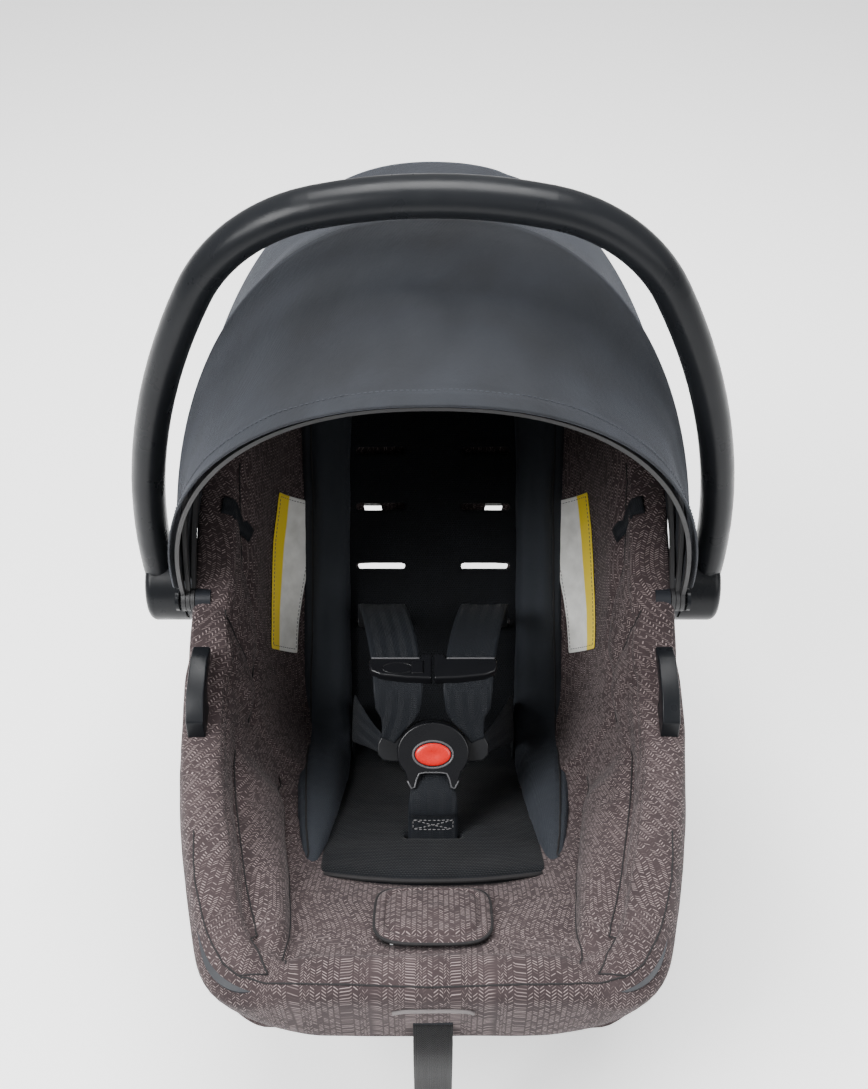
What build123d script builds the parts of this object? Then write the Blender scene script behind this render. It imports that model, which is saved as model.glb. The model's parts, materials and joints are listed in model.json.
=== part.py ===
from build123d import *
import math
import os

# Infant car seat: a carrier with a bucket shell, a swinging carry handle, a folding canopy and a
# five-point harness.
#
# Frame: millimetres, +X to one side, +Y towards the head end, +Z up. The origin is on the floor, under
# the middle of the carrier, which stands on the flats of its two runners. "left" pieces are at +X and
# "right" pieces at -X.

# ---------------------------------------------------------------- driving dimensions
WEBBING = 38.0          # harness webbing, width
WEBBING_T = 1.6         # harness webbing, thickness
TAIL_W = 25.0           # adjuster webbing, width
TAIL_T = 1.4            # adjuster webbing, thickness
WALL = 4.0              # shell wall
FLANGE = 7.0            # rolled rim, outside the wall
RIM_T = 5.5             # rolled rim, thickness
GAP = 0.6               # clearance between neighbouring layers
PAD_BACK = (-13.0, -19.0)   # outer and inner faces of the back pad, from the shell's outside
PAD_LEG = (-4.6, -17.0)     # the same for the leg pad
LINER = (-4.6, -12.4)       # the same for the foam liner
SKIRT = (7.6, 11.0)         # the same for the cover's skirt over the foot end
SKIRT_DROP = 46.0       # skirt, height below the rim
SKIRT_CAP = 4.0         # skirt, thickness over the rim
SPLIT_Y = -55.0         # where the leg pad meets the back pad
SKIRT_Y = -112.0        # head end of the skirt
FRONT_Y = -294.5        # shell wall at the foot end
REAR_Y = 299.0          # shell wall at the head end

# Stations along the shell, foot to head: (y, floor z, floor half width, rim half width)
STATIONS = [
    (-294.5, 205.0, 70.0, 112.0),
    (-290.0, 199.0, 82.0, 124.0),
    (-280.0, 192.0, 90.0, 134.0),
    (-260.0, 183.0, 96.0, 142.0),
    (-225.0, 166.0, 101.0, 151.0),
    (-170.0, 133.0, 105.0, 163.0),
    (-110.0, 100.0, 107.0, 171.0),
    (-50.0, 70.0, 108.0, 173.0),
    (0.0, 45.0, 108.0, 174.0),
    (50.0, 68.0, 108.0, 175.0),
    (110.0, 131.0, 107.0, 173.0),
    (170.0, 194.0, 104.0, 166.0),
    (225.0, 249.0, 98.0, 152.0),
    (265.0, 292.0, 84.0, 131.0),
    (288.0, 320.0, 66.0, 105.0),
    (299.0, 338.0, 50.0, 80.0),
]
SECTION_CAP = 45.0      # how far each section runs above the rim line, before it is trimmed
# Rim line in side view: (y, z)
RIM = [
    (-330.0, 236.0), (-294.0, 237.0), (-200.0, 240.0), (-120.0, 241.0), (-80.0, 251.0), (-45.0, 268.0),
    (-15.0, 284.0), (25.0, 300.0), (100.0, 335.0), (170.0, 360.0), (240.0, 377.0), (299.0, 381.0),
    (330.0, 381.0),
]

SEAT_SLOPE = -0.5       # seat surface, rise per unit y
SEAT_Z0 = 83.0          # seat surface, height at y = 0
BACK_POINT = (124.0, 202.0)
BACK_SLOPE = 1.083      # back surface, rise per unit y

SLOT_X = 47.0           # harness slots, centre from the middle
SLOT_W = 44.0
SLOT_H = 5.0
SLOT_LEVELS = (90.0, 124.0, 160.0, 194.0)
HIP_SLOT = (70.0, 14.0)         # hip slots in the back surface: (x, y)
CROTCH_Y = -126.0       # crotch slot in the seat surface

INSERT_W = 140.0        # head and body insert, width of its flat part
INSERT_T = 24.0         # before it is trimmed to the pad under it
BOLSTER_X = 91.0
BOLSTER_R = 17.0

HUB = (50.0, 250.0)     # handle axis, (y, z)
HANDLE_REACH = 347.0    # handle axis to the middle of the grip
HANDLE_LEAN = -3.3      # carry position, degrees from upright, towards the foot end
ARM_A = 12.5            # handle section, half size in the handle's plane
ARM_B = 16.0            # handle section, half size across that plane
CROWN = (361.0, 11.8)   # handle centreline: radius and turn of the grip, shoulders and sides
SHOULDER = (125.0, 49.2)
SIDE = (508.0, 32.5)
HUB_R = 30.0
HUB_X = (199.5, 231.0)  # inner and outer faces of the handle's hub
PIN_R = 6.0
RUN = 0.05              # radial clearance of a running fit
STAR_R = 15.0
STAR_TEETH = 6

CANOPY_PIVOT = (-5.0, 285.0)
BOW_T = 3.0
BOW_DEPTH = 5.0
FABRIC_T = 2.0
FABRIC_GAP = 2.4        # canopy cloth, clearance over the bows
ARCH_POWER = 2.3        # canopy arch shape: 2 is an ellipse, more is squarer
BOW_FOOT = 14.0         # canopy cloth starts this far above the pivot
# Canopy bows: (lean back in degrees, arch height, half width)
BOWS = {"front": (-13.0, 219.4, 190.4), "mid": (12.0, 286.4, 186.9), "rear": (36.0, 320.4, 183.4)}
HEM = (71.5, 325.7, 184.4)      # the canopy's rear edge, round the head end of the rim
HEM_POWER = 4.0

RUNNER_X = (98.0, 114.0)
RUNNER_WEB = 5.0
RUNNER_FLAT = 95.0      # half length of the flat that the carrier rests on
BAR_R = 5.0
BARS = {"front": (-120.0, 38.0), "rear": (110.0, 38.0)}

CLIP = (-42.0, 243.5)   # chest clip, (y, z)
LAP_LEAN = 65.0         # lap strap, rise out of its slot in degrees
BUCKLE = (-84.0, 198.0)
BUCKLE_TILT = 49.0      # the buckle's face, degrees from level
TONGUE_X = (18.0, 44.6)         # inner and outer ends of a latch plate, across the buckle
TONGUE_Y = 4.0          # its middle, along the buckle
TONGUE_W = 20.0

os.makedirs("parts", exist_ok=True)


# ---------------------------------------------------------------- helpers
def save(shape, name):
    """Write one named piece, and say what it is made of."""
    export_step(shape, f"parts/{name}.step")
    print(name, len(shape.solids()), round(shape.volume))


def both_sides(piece, name):
    """A piece made for +X, and its mirror image for -X."""
    save(piece, f"{name}_left")
    save(mirror(piece, Plane.YZ), f"{name}_right")


def box(x, y, z):
    """An axis-aligned box from three (low, high) pairs."""
    size = [pair[1] - pair[0] for pair in (x, y, z)]
    middle = [(pair[1] + pair[0]) / 2 for pair in (x, y, z)]
    return Pos(*middle) * Box(*size)


def rod_x(x, y, z, radius):
    """A cylinder along X between two x values."""
    return Pos((x[0] + x[1]) / 2, y, z) * Rot(0, 90, 0) * Cylinder(radius, x[1] - x[0])


def profile_x(points, x):
    """A straight-sided YZ outline carried from x[0] to x[1]."""
    wire = Polyline([(x[0], y, z) for y, z in points], close=True)
    return extrude(make_face(wire), x[1] - x[0], dir=(1, 0, 0))


def strip(points, thickness):
    """The outline of a band of even thickness along a run of (y, z) points."""
    upper, lower = [], []
    for i, (y, z) in enumerate(points):
        before = points[max(i - 1, 0)]
        after = points[min(i + 1, len(points) - 1)]
        a = math.atan2(z - before[1], y - before[0]) if i else None
        b = math.atan2(after[1] - z, after[0] - y) if i < len(points) - 1 else None
        a = b if a is None else a
        b = a if b is None else b
        turn = math.remainder(b - a, 2 * math.pi)
        heading = a + turn / 2
        reach = thickness / 2 / math.cos(turn / 2)
        upper.append((y - math.sin(heading) * reach, z + math.cos(heading) * reach))
        lower.append((y + math.sin(heading) * reach, z - math.cos(heading) * reach))
    return upper + lower[::-1]


def webbing(points, x, thickness=WEBBING_T):
    return profile_x(strip(points, thickness), x)


BACK_PITCH = math.degrees(math.atan(BACK_SLOPE))
SEAT_PITCH = math.degrees(math.atan(SEAT_SLOPE))


def on_line(y, z, pitch, out):
    """A point moved out of a sloping surface by a distance."""
    return y - math.sin(math.radians(pitch)) * out, z + math.cos(math.radians(pitch)) * out


def on_back(y, out=0.0):
    return on_line(y, BACK_POINT[1] + BACK_SLOPE * (y - BACK_POINT[0]), BACK_PITCH, out)


def on_seat(y, out=0.0):
    return on_line(y, SEAT_Z0 + SEAT_SLOPE * y, SEAT_PITCH, out)


# ---------------------------------------------------------------- bucket
def rim_z(y):
    """Height of the rim line at y."""
    for (y0, z0), (y1, z1) in zip(RIM, RIM[1:]):
        if y0 <= y <= y1:
            return z0 + (z1 - z0) * (y - y0) / (y1 - y0)


def tub_section(station, grow):
    """Outline of the bucket at one station, moved outwards by grow, and closed above the rim."""
    y, floor, half_floor, half_rim = station
    top = rim_z(y)
    middle = (FRONT_Y + REAR_Y) / 2
    y = middle + (y - middle) * (1 + grow / ((REAR_Y - FRONT_Y) / 2))
    w0, w1 = half_floor + grow * 0.8, half_rim + grow
    z0 = floor - grow * 1.3
    rise = top - z0
    half = [
        (w1, top),
        (w0 + 0.62 * (w1 - w0), z0 + 0.45 * rise),
        (w0, z0 + 0.13 * rise),
        (w0 * 0.6, z0 + 0.01 * rise),
    ]
    curve = [(x, y, z) for x, z in half] + [(0, y, z0)] + [(-x, y, z) for x, z in reversed(half)]
    cap = top + SECTION_CAP
    return make_face(Spline(curve) + Polyline([(-w1, y, top), (-w1, y, cap), (w1, y, cap), (w1, y, top)]))


def tub(grow):
    """The bucket as a solid block, moved outwards by grow."""
    return loft([tub_section(station, grow) for station in STATIONS])


def rim_band(low, high, y=(-340.0, 340.0)):
    """Everything between the rim line moved by low and by high."""
    line = Spline([(-260, py, z) for py, z in RIM])
    lower = line.moved(Location((0, 0, low)))
    upper = line.moved(Location((0, 0, high)))
    ends = Line(lower @ 0, upper @ 0) + Line(lower @ 1, upper @ 1)
    band = extrude(make_face(lower + upper + ends), 520, dir=(1, 0, 0))
    return band & box((-270, 270), y, (-300, 600))


def slot_cutters(extra=0.0):
    """Cutters for the harness slots: shoulders at four heights, hips and crotch."""
    cutters = []
    for side in (1, -1):
        for y in SLOT_LEVELS:
            place = Pos(side * SLOT_X, *on_back(y)) * Rot(BACK_PITCH, 0, 0)
            cutters.append(place * Box(SLOT_W + extra, SLOT_H + extra, 100))
        place = Pos(side * HIP_SLOT[0], *on_seat(HIP_SLOT[1]))
        cutters.append(place * Box(SLOT_H + extra, SLOT_W + extra, 80))
    place = Pos(0, *on_seat(CROTCH_Y)) * Rot(SEAT_PITCH, 0, 0)
    cutters.append(place * Box(SLOT_W + extra, SLOT_H + extra, 90))
    return cutters


def runner():
    """One runner under the shell: a thin web with a wider foot along its lower edge."""
    sole = [(-236, 140), (-196, 78), (-150, 26), (-122, 6), (-RUNNER_FLAT, 0), (RUNNER_FLAT, 0), (122, 6),
            (150, 26), (190, 84), (222, 160)]
    under_shell = [(240, 250), (110, 160), (40, 100), (0, 80), (-60, 100), (-150, 150), (-262, 200)]
    web = profile_x(sole + under_shell, (RUNNER_X[0], RUNNER_X[0] + RUNNER_WEB))
    inner = [(216, 163), (184, 88), (145, 31), (119, 12), (RUNNER_FLAT, 6), (-RUNNER_FLAT, 6), (-119, 12),
             (-145, 31), (-190, 82), (-230, 143)]
    return web + profile_x(sole + inner, RUNNER_X)


LEVER_PIVOT = (232.0, 222.0)
LEVER_X = 46.0


def lever_lug():
    """A rib under the head end that carries the release lever's pin."""
    outline = [(205, 240), (218, 214), (232, 210), (244, 216), (262, 300), (240, 300)]
    return profile_x(outline, (LEVER_X + 1, LEVER_X + 6)) - rod_x((0, 100), *LEVER_PIVOT, 3.05)


def shell(outer, inner):
    """The moulded bucket with its rolled rim, runners, hub bosses and strap slots."""
    body = (outer & rim_band(-400, 0)) + (tub(FLANGE) & rim_band(-RIM_T, 0))
    for piece in (runner(), lever_lug(), hub_boss(), pivot_boss()):
        body += piece
        body += mirror(piece, Plane.YZ)
    body -= inner
    bores = [rod_x((175, 210), *HUB, PIN_R + RUN), rod_x((HUB_X[0] - 15.5, 210), *HUB, STAR_R + 1.0)]
    bores.append(rod_x((171.8, 200), *CANOPY_PIVOT, 4 + RUN))
    for bore in bores:
        body -= bore
        body -= mirror(bore, Plane.YZ)
    for y, z in BARS.values():
        body -= rod_x((-120, 120), y, z, BAR_R + RUN)
    body -= box((-30, 30), (-253, -213), (130, 215))
    for cutter in slot_cutters():
        body -= cutter
    return body


def hub_boss():
    """The round boss that the handle turns on."""
    return rod_x((150, HUB_X[0] - 0.5), *HUB, HUB_R - 2)


def pivot_boss():
    return rod_x((150, BOWS["rear"][2] - BOW_T / 2 - GAP), *CANOPY_PIVOT, 9)


# ---------------------------------------------------------------- soft goods on the shell
def back_pad(outer, inner):
    pad = (outer - inner) & rim_band(-400, -1, (SPLIT_Y + GAP, 330))
    return cut_slots(pad)


def leg_pad(outer, inner):
    pad = (outer - inner) & rim_band(-400, -GAP, (-330, SPLIT_Y))
    pad -= box((-31, 31), (-254, -212), (130, 230))
    return cut_slots(pad)


def cut_slots(piece):
    for cutter in slot_cutters(2.0):
        piece -= cutter
    return piece


def liner(outer, inner):
    """Foam shell between the shell and the back pad, for the head and shoulders."""
    return cut_slots((outer - inner) & rim_band(-400, -8, (25, 330)))


def skirt(outer, inner, hole):
    """The seat cover where it rolls over the rim of the foot end."""
    piece = outer & rim_band(-SKIRT_DROP, SKIRT_CAP, (-330, SKIRT_Y))
    piece -= inner & rim_band(-400, GAP)
    piece -= hole
    return piece - box((-15, 15), (-320, -290), TAIL_SLOT)


def insert_flat(points, room):
    """A flat cushion whose top follows a run of surface points, and which fills the space down to the pad."""
    band = profile_x(strip(points, INSERT_T), (-INSERT_W / 2, INSERT_W / 2))
    return cut_slots(band & room)


def bolster(room):
    """One of the two long rolls beside the occupant."""
    lift = 10.0
    points = [on_seat(-186, lift), (6 - lift, 84 + lift), on_back(246, lift)]
    path = FilletPolyline([(BOLSTER_X, y, z) for y, z in points], radius=60)
    roll = sweep(Plane(origin=path @ 0, z_dir=path % 0) * Circle(BOLSTER_R), path=path)
    roll = roll & room
    for cutter in slot_cutters(2.0):
        roll -= cutter
    return roll - box((0, BOLSTER_X - 19), (-400, 400), (-100, 600))


# ---------------------------------------------------------------- harness
def limp_band(points, widths, thickness=WEBBING_T):
    """Webbing along (x, y, z) points, always level across its width at each of them."""
    sections = []
    for i, (here, width) in enumerate(zip(points, widths)):
        before, after = points[max(i - 1, 0)], points[min(i + 1, len(points) - 1)]
        runs = [(a, b) for a, b in ((before, here), (here, after)) if a != b]
        headings = [math.atan2(b[2] - a[2], b[1] - a[1]) for a, b in runs]
        turn = math.remainder(headings[-1] - headings[0], 2 * math.pi)
        heading = headings[0] + turn / 2
        plane = Plane(origin=here, x_dir=(1, 0, 0), z_dir=(0, math.cos(heading), math.sin(heading)))
        sections.append(plane * Rectangle(width, thickness / math.cos(turn / 2)))
    return loft(sections, ruled=True)


def shoulder_strap():
    """From the splitter plate, through its slot, over the shoulder and down to the tongue."""
    level = SLOT_LEVELS[0]
    points = [(SLOT_X, *on_back(level, -56)), (SLOT_X, *on_back(level)), (SLOT_X, *on_back(level - 4, 9)),
              (44, 60, 220), (39, 30, 238), (33, -4, 245.8), (29, -26, 243.6), (25, -58, 240.2)]
    widths = [WEBBING] * len(points)
    # Gathered into the slot of the tongue, beside the buckle: (x, along, out, width)
    for x, along, out, width in ((34.5, 35, 4.6, 23), (36.8, 28, 3.2, 14), (36.8, 13, 3.0, 14)):
        points.append((x, *buckle_point(along, out)))
        widths.append(width)
    return limp_band(points, widths)


def lap_strap():
    """From its anchor, up through the hip slot and over the thigh to the tongue."""
    x, y = HIP_SLOT
    end = BUCKLE_PLANE.from_local_coords(Vector(TONGUE_X[1] + 1.4, TONGUE_Y, 0))
    sections = [Plane(origin=(x, y, z), x_dir=(0, 1, 0), z_dir=(0, 0, 1)) * Rectangle(WEBBING, WEBBING_T)
                for z in (30.0, 116.0)]
    start = Vector(x, y, 116.0)
    for share in (0.2, 0.4, 0.6, 0.8, 1.0):
        tilt = math.radians(BUCKLE_TILT * share)
        lean = math.radians(LAP_LEAN * (1 - share))
        across = Vector(0, math.cos(tilt), math.sin(tilt))
        along = Vector(-math.cos(lean), 0, math.sin(lean))
        along = along - across * along.dot(across)
        plane = Plane(origin=start + (end - start) * share, x_dir=across, z_dir=along)
        sections.append(plane * Rectangle(WEBBING, WEBBING_T))
    return loft(sections, ruled=True)


def strap_anchor(length, place):
    """Steel plate that a strap's end is looped round, behind its slot."""
    return place * (Box(length, 14, 3) - Box(length - 14, 4, 6))


def crotch_strap():
    points = [on_seat(CROTCH_Y, -48), on_seat(CROTCH_Y, 2), buckle_point(-46), buckle_point(-25)]
    return webbing(points, (-WEBBING / 2, WEBBING / 2))


def buckle_point(along, out=0.0):
    """(y, z) of a point on the buckle: along its length, and out of its face."""
    tilt = math.radians(BUCKLE_TILT)
    return (BUCKLE[0] + along * math.cos(tilt) - out * math.sin(tilt),
            BUCKLE[1] + along * math.sin(tilt) + out * math.cos(tilt))


BUCKLE_PLANE = Plane(
    origin=(0, *BUCKLE), x_dir=(1, 0, 0),
    z_dir=(0, -math.sin(math.radians(BUCKLE_TILT)), math.cos(math.radians(BUCKLE_TILT))),
)


def buckle_case(z0, z1, floor):
    """One half of the buckle's case, hollow, with its floor on one side."""
    outline = Polygon((-19, -31), (19, -31), (28, -6), (28, 31), (-28, 31), (-28, -6), align=None)
    outline = fillet(outline.vertices(), 7)
    cavity = offset(outline, -3)
    case = Pos(0, 0, z0) * extrude(outline, z1 - z0)
    case -= Pos(0, 0, floor[0]) * extrude(cavity, floor[1] - floor[0])
    mouth = Pos(0, TONGUE_Y, 0) * Box(64, TONGUE_W + 2, 4)
    heel = Pos(0, -29, 0) * Box(40, 12, 4)
    return case - mouth - heel


def buckle():
    button_hole = extrude(Ellipse(14.3, 9.3), 30)
    front = buckle_case(0.2, 11, (-1, 8)) - button_hole
    back = buckle_case(-11, -0.2, (-8, 1))
    button = Pos(0, 0, 2.5) * extrude(Ellipse(14, 9), 10.5)
    button += Pos(0, 0, 2.5) * extrude(Ellipse(17, 12), 1.5)
    spring = Pos(0, 0, -2.3) * (Cylinder(5.5, 8.6) - Cylinder(4.2, 8.6))
    for name, piece in (("front", front), ("back", back), ("button", button), ("spring", spring)):
        save(BUCKLE_PLANE * piece, f"buckle_{name}")


def tongue():
    """Metal latch plate on the webbing, pushed into the side of the buckle."""
    inner, outer = TONGUE_X
    plate = Pos((inner + outer) / 2, TONGUE_Y, 0) * Box(outer - inner, TONGUE_W, 2.2)
    plate = fillet(plate.edges().filter_by(Axis.Z).group_by(Axis.X)[-1], 4)
    plate -= Pos(outer - 6.1, TONGUE_Y, 0) * Box(3.4, 14, 4)
    plate -= Pos(inner + 3.5, TONGUE_Y, 0) * Box(3.5, 7, 4)
    return BUCKLE_PLANE * plate


def chest_clip():
    """Two halves on the shoulder straps, locked at the middle by a tongue with a press tab."""
    place = Pos(0, *CLIP) * Rot(6, 0, 0)
    body = Box(49.5, 27, 12, align=(Align.MIN, Align.CENTER, Align.CENTER))
    body = Pos(0.5, 0, 0) * fillet(body.edges().filter_by(Axis.Z).group_by(Axis.X)[-1], 8)
    body -= Pos(26, 0, -1.6) * Box(50, 40, 3.6)
    window = Pos(-12, 0, 5) * Box(9.6, 13.6, 6)
    tab = Pos(-12, 0, 5.6) * Box(9, 13, 1.8)
    lock = Pos(-6, 0, 2.2) * Box(26, 15, 2.6)
    save(place * (body + lock), "chest_clip_left")
    save(place * (mirror(body, Plane.YZ) - window - Pos(-6, 0, 2.2) * Box(28, 16, 3.2)), "chest_clip_right")
    save(place * tab, "chest_clip_tab")


# ---------------------------------------------------------------- adjuster
ADJUSTER = (-233.0, 172.0)
ADJUSTER_RUN = [(-215.0, 150.0), (-252.0, 166.0), (-286.0, 181.0)]     # the webbing's way through it
TAIL_SLOT = (209.0, 224.0)      # its exit through the cover, low and high
# The hanging end of the adjuster strap: (y, z)
TAIL = [(-308.5, 209.8), (-316.5, 196.0), (-319.0, 176.0), (-316.8, 146.0), (-317.8, 108.0), (-315.6, 68.0),
        (-316.4, 30.0)]


def splitter_plate():
    """Steel plate behind the back that joins the two shoulder straps to the adjuster strap."""
    plate = Box(142, 34, 3) - Pos(0, -11, 0) * Box(30, 5, 6)
    for side in (1, -1):
        plate -= Pos(side * SLOT_X, 11, 0) * Box(WEBBING + 4, 5, 6)
    return Pos(0, *on_back(SLOT_LEVELS[0] - 10, -60)) * Rot(BACK_PITCH, 0, 0) * plate


def adjuster_strap():
    """From the splitter plate, under the shell, through the adjuster and out at the front."""
    points = [on_back(66, -62), on_back(60, -66), (60, 38), (0, 32), (-60, 48), (-140, 85), (-190, 128)]
    points += ADJUSTER_RUN
    points += [(-298.3, 194), (-298.8, 214), (-301, 219.5), (-303.5, 218.5), TAIL[0]]
    return webbing(points, (-TAIL_W / 2, TAIL_W / 2), TAIL_T)


def adjuster_tail():
    """The free end of the adjuster strap, hanging from the front."""
    points = [(0, y, z) for y, z in TAIL]
    radii = []
    for before, here, after in zip(points, points[1:], points[2:]):
        a, b = Vector(*here) - Vector(*before), Vector(*after) - Vector(*here)
        turn = math.radians(a.get_angle(b))
        radii.append(0.45 * min(a.length, b.length) / math.tan(turn / 2))
    print("tail radii", [round(r, 1) for r in radii])
    path = FilletPolyline(points, radius=radii)
    tangent = path % 0
    section = Plane(origin=path @ 0, x_dir=(1, 0, 0), z_dir=tangent) * Rectangle(TAIL_W, TAIL_T)
    tail = sweep(section, path=path)
    print("tail length", round(path.length, 1))
    return tail


def adjuster():
    """Adjuster housing under the front of the seat, its release button and spring."""
    y, z = ADJUSTER
    housing = box((-27, 27), (y - 17, y + 17), (z - 26, z + 20))
    housing -= box((-24, 24), (y - 14, y + 14), (z - 22, z + 30))
    housing -= webbing([(-200, 144)] + ADJUSTER_RUN, (-15, 15), 6)
    button = box((-22, 22), (y - 12, y + 12), (z + 9, z + 22))
    button -= box((-19, 19), (y - 9, y + 9), (z + 5, z + 18))
    spring = Pos(0, y + 1, z + 11) * (Cylinder(4, 13) - Cylinder(3, 13))
    return housing, button, spring


# ---------------------------------------------------------------- carry handle
def handle_centreline():
    """Half of the handle's centreline, grip to hub, drawn upright in a plane through the handle axis."""
    x, r, heading, edges = 0.0, HANDLE_REACH, 0.0, []
    for radius, turn in (CROWN, SHOULDER, SIDE):
        after = heading + math.radians(turn)
        middle = heading + math.radians(turn) / 2
        points = [(x, r)]
        for angle in (middle, after):
            points.append((x + radius * (math.sin(angle) - math.sin(heading)),
                           r - radius * (math.cos(heading) - math.cos(angle))))
        edges.append(ThreePointArc(*[(px, 0, pr) for px, pr in points]))
        (x, r), heading = points[-1], after
    return edges


def in_carry_position(shape):
    """A shape drawn upright about the X axis, moved to the hub and leant to the carry position."""
    return Pos(0, *HUB) * Rot(-HANDLE_LEAN, 0, 0) * shape


def handle():
    """The carry handle: one moulded bow with a round hub at each end."""
    path = Wire(handle_centreline() + [edge.mirror(Plane.YZ) for edge in handle_centreline()])
    start = path @ 0
    section = Plane(origin=start, x_dir=(0, 1, 0), z_dir=path % 0) * Ellipse(ARM_B, ARM_A)
    bow = sweep(section, path=path)
    bow -= box((-300, 300), (-60, 60), (-60, 4))
    hubs = rod_x(HUB_X, 0, 0, HUB_R)
    hubs = fillet(hubs.edges().group_by(Axis.X)[-1], 6)
    pocket = rod_x((HUB_X[0] - 1, HUB_X[0] + 9), 0, 0, STAR_R + 1.0)
    axle = rod_x((HUB_X[0] - 1, HUB_X[1] + 1), 0, 0, PIN_R + RUN)
    button_well = rod_x((HUB_X[1] - 13, HUB_X[1] + 6), 0, 0, 14.3)
    bow += hubs
    bow += mirror(hubs, Plane.YZ)
    for hole in [pocket, axle, button_well] + prongs(2.5):
        bow -= hole
        bow -= mirror(hole, Plane.YZ)
    return in_carry_position(bow)


def prongs(radius):
    """The push button's three prongs, which reach the lock through the hub, drawn about the X axis."""
    inner, outer = HUB_X
    return [Rot(120 * i, 0, 0) * rod_x((inner + 6.5, outer - 3), 0, 10.5, radius) for i in range(3)]


def hub_pieces():
    """Axle pin, star-shaped lock, spring and push button of the +X hub."""
    inner, outer = HUB_X
    pin = rod_x((175.5, outer - 13.5), *HUB, PIN_R)
    star = rod_x((inner - 5, inner + 6), *HUB, STAR_R - 3)
    for i in range(STAR_TEETH):
        tooth = Pos(inner + 0.5, 0, 0) * Box(11, 6, 2 * STAR_R - 1)
        star += Pos(0, *HUB) * Rot(360 / STAR_TEETH * i / 2, 0, 0) * tooth
    star &= rod_x((inner - 5, inner + 6), *HUB, STAR_R)
    star -= rod_x((0, 300), *HUB, PIN_R + 0.3)
    spring = rod_x((inner - 15, inner - 5.3), *HUB, 13) - rod_x((0, 300), *HUB, 11)
    button = rod_x((outer - 8, outer + 1.5), *HUB, 14)
    button = fillet(button.edges().group_by(Axis.X)[-1], 1.2)
    button -= rod_x((outer - 9, outer - 2.5), *HUB, 11.5)
    for prong in prongs(2):
        button += in_carry_position(prong)
    return {"axle_pin": pin, "lock_star": star, "lock_spring": spring, "handle_button": button}


# ---------------------------------------------------------------- canopy
def in_canopy_plane(lean, shape):
    """A shape drawn upright about the X axis, moved to the canopy's pivot and leant back."""
    return Pos(0, *CANOPY_PIVOT) * Rot(-lean, 0, 0) * shape


def arch_points(height, half_width, foot, power=ARCH_POWER):
    """Points of a canopy arch, upright in the XZ plane, from one foot over the top to the other."""
    start = math.asin((foot / height) ** (power / 2))
    half = []
    for i in range(7):
        t = start + (math.pi / 2 - start) * i / 7
        half.append((half_width * math.cos(t) ** (2 / power), 0, height * math.sin(t) ** (2 / power)))
    return half + [(0, 0, height)] + [(-x, 0, z) for x, _, z in reversed(half)]


def arch_face(height, half_width, thickness, foot, power=ARCH_POWER):
    """An arch of even thickness, as a flat face in the XZ plane."""
    inner = Spline(arch_points(height, half_width, foot, power))
    outer = Spline(arch_points(height + thickness, half_width + thickness, foot, power))
    return make_face(inner + outer + Line(inner @ 0, outer @ 0) + Line(inner @ 1, outer @ 1))


def canopy_bow(name):
    lean, height, half_width = BOWS[name]
    face = arch_face(height - BOW_T / 2, half_width - BOW_T / 2, BOW_T, 6)
    arch = extrude(face, BOW_DEPTH / 2, both=True)
    lane = (half_width - BOW_T / 2, half_width + BOW_T / 2)
    eye = rod_x(lane, 0, 0, 9)
    arch += eye
    arch += mirror(eye, Plane.YZ)
    hole = rod_x((lane[0] - 3, lane[1] + 3), 0, 0, 4 + RUN)
    arch -= hole
    arch -= mirror(hole, Plane.YZ)
    return in_canopy_plane(lean, arch)


def canopy_panel(front, back, front_power=ARCH_POWER, back_power=ARCH_POWER, foot=BOW_FOOT):
    """Cloth between two arches, just outside the bows."""
    faces = []
    for (lean, height, half_width), power in ((front, front_power), (back, back_power)):
        grow = BOW_T / 2 + FABRIC_GAP
        face = arch_face(height + grow, half_width + grow, FABRIC_T, foot, power)
        faces.append(in_canopy_plane(lean, face))
    return loft(faces)


def canopy_pivot():
    """Headed pin that the three bows turn on, screwed into the shell's boss."""
    return rod_x((172, 194.4), *CANOPY_PIVOT, 4) + rod_x((194.1, 196.8), *CANOPY_PIVOT, 8.5)


def canopy():
    for name in BOWS:
        save(canopy_bow(name), f"canopy_bow_{name}")
    front_edge = (BOWS["front"][0] - 1.5, BOWS["front"][1], BOWS["front"][2])
    save(canopy_panel(front_edge, BOWS["mid"]), "canopy_cloth_front")
    save(canopy_panel(BOWS["mid"], BOWS["rear"]), "canopy_cloth_mid")
    save(canopy_panel(BOWS["rear"], HEM, back_power=HEM_POWER), "canopy_cloth_rear")
    both_sides(canopy_pivot(), "canopy_pivot")


# ---------------------------------------------------------------- small hard pieces
def belt_guide():
    """Hook on the rim that holds the vehicle's lap belt."""
    hook = [(-109, 262), (-94, 276), (-66, 284), (-52, 282), (-53, 277.5), (-80, 270.5), (-86, 262)]
    rim = [(y, rim_z(y) + GAP) for y in (-86, -100, -111)]
    return profile_x(hook + rim, (165, 178))


def release_lever():
    """Squeeze lever under the head end that frees the carrier from its base."""
    outline = [(226, 226), (232, 229), (238, 226), (262, 242), (266, 238), (264, 233), (240, 216),
               (232, 215)]
    lever = profile_x(outline, (-LEVER_X, LEVER_X))
    lever += rod_x((-LEVER_X, LEVER_X), *LEVER_PIVOT, 7)
    return lever - rod_x((-100, 100), *LEVER_PIVOT, 3 + RUN)


def release_spring():
    """Spring between the release lever and the shell."""
    return Pos(0, 251, 254) * (Cylinder(6, 22) - Cylinder(4.5, 22))


def care_label(room):
    """Sewn label on the side of the seat cover."""
    return profile_x(strip([(34, 183), (143, 268)], 44), (108, 141)) & room


def pad_loop():
    """Elastic loop that hooks the cover over the rim."""
    ends = [(54, rim_z(54) + 1.5), (70, rim_z(70) + 1.5)]
    return profile_x(strip(ends, 2), (146, 160))


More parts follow.
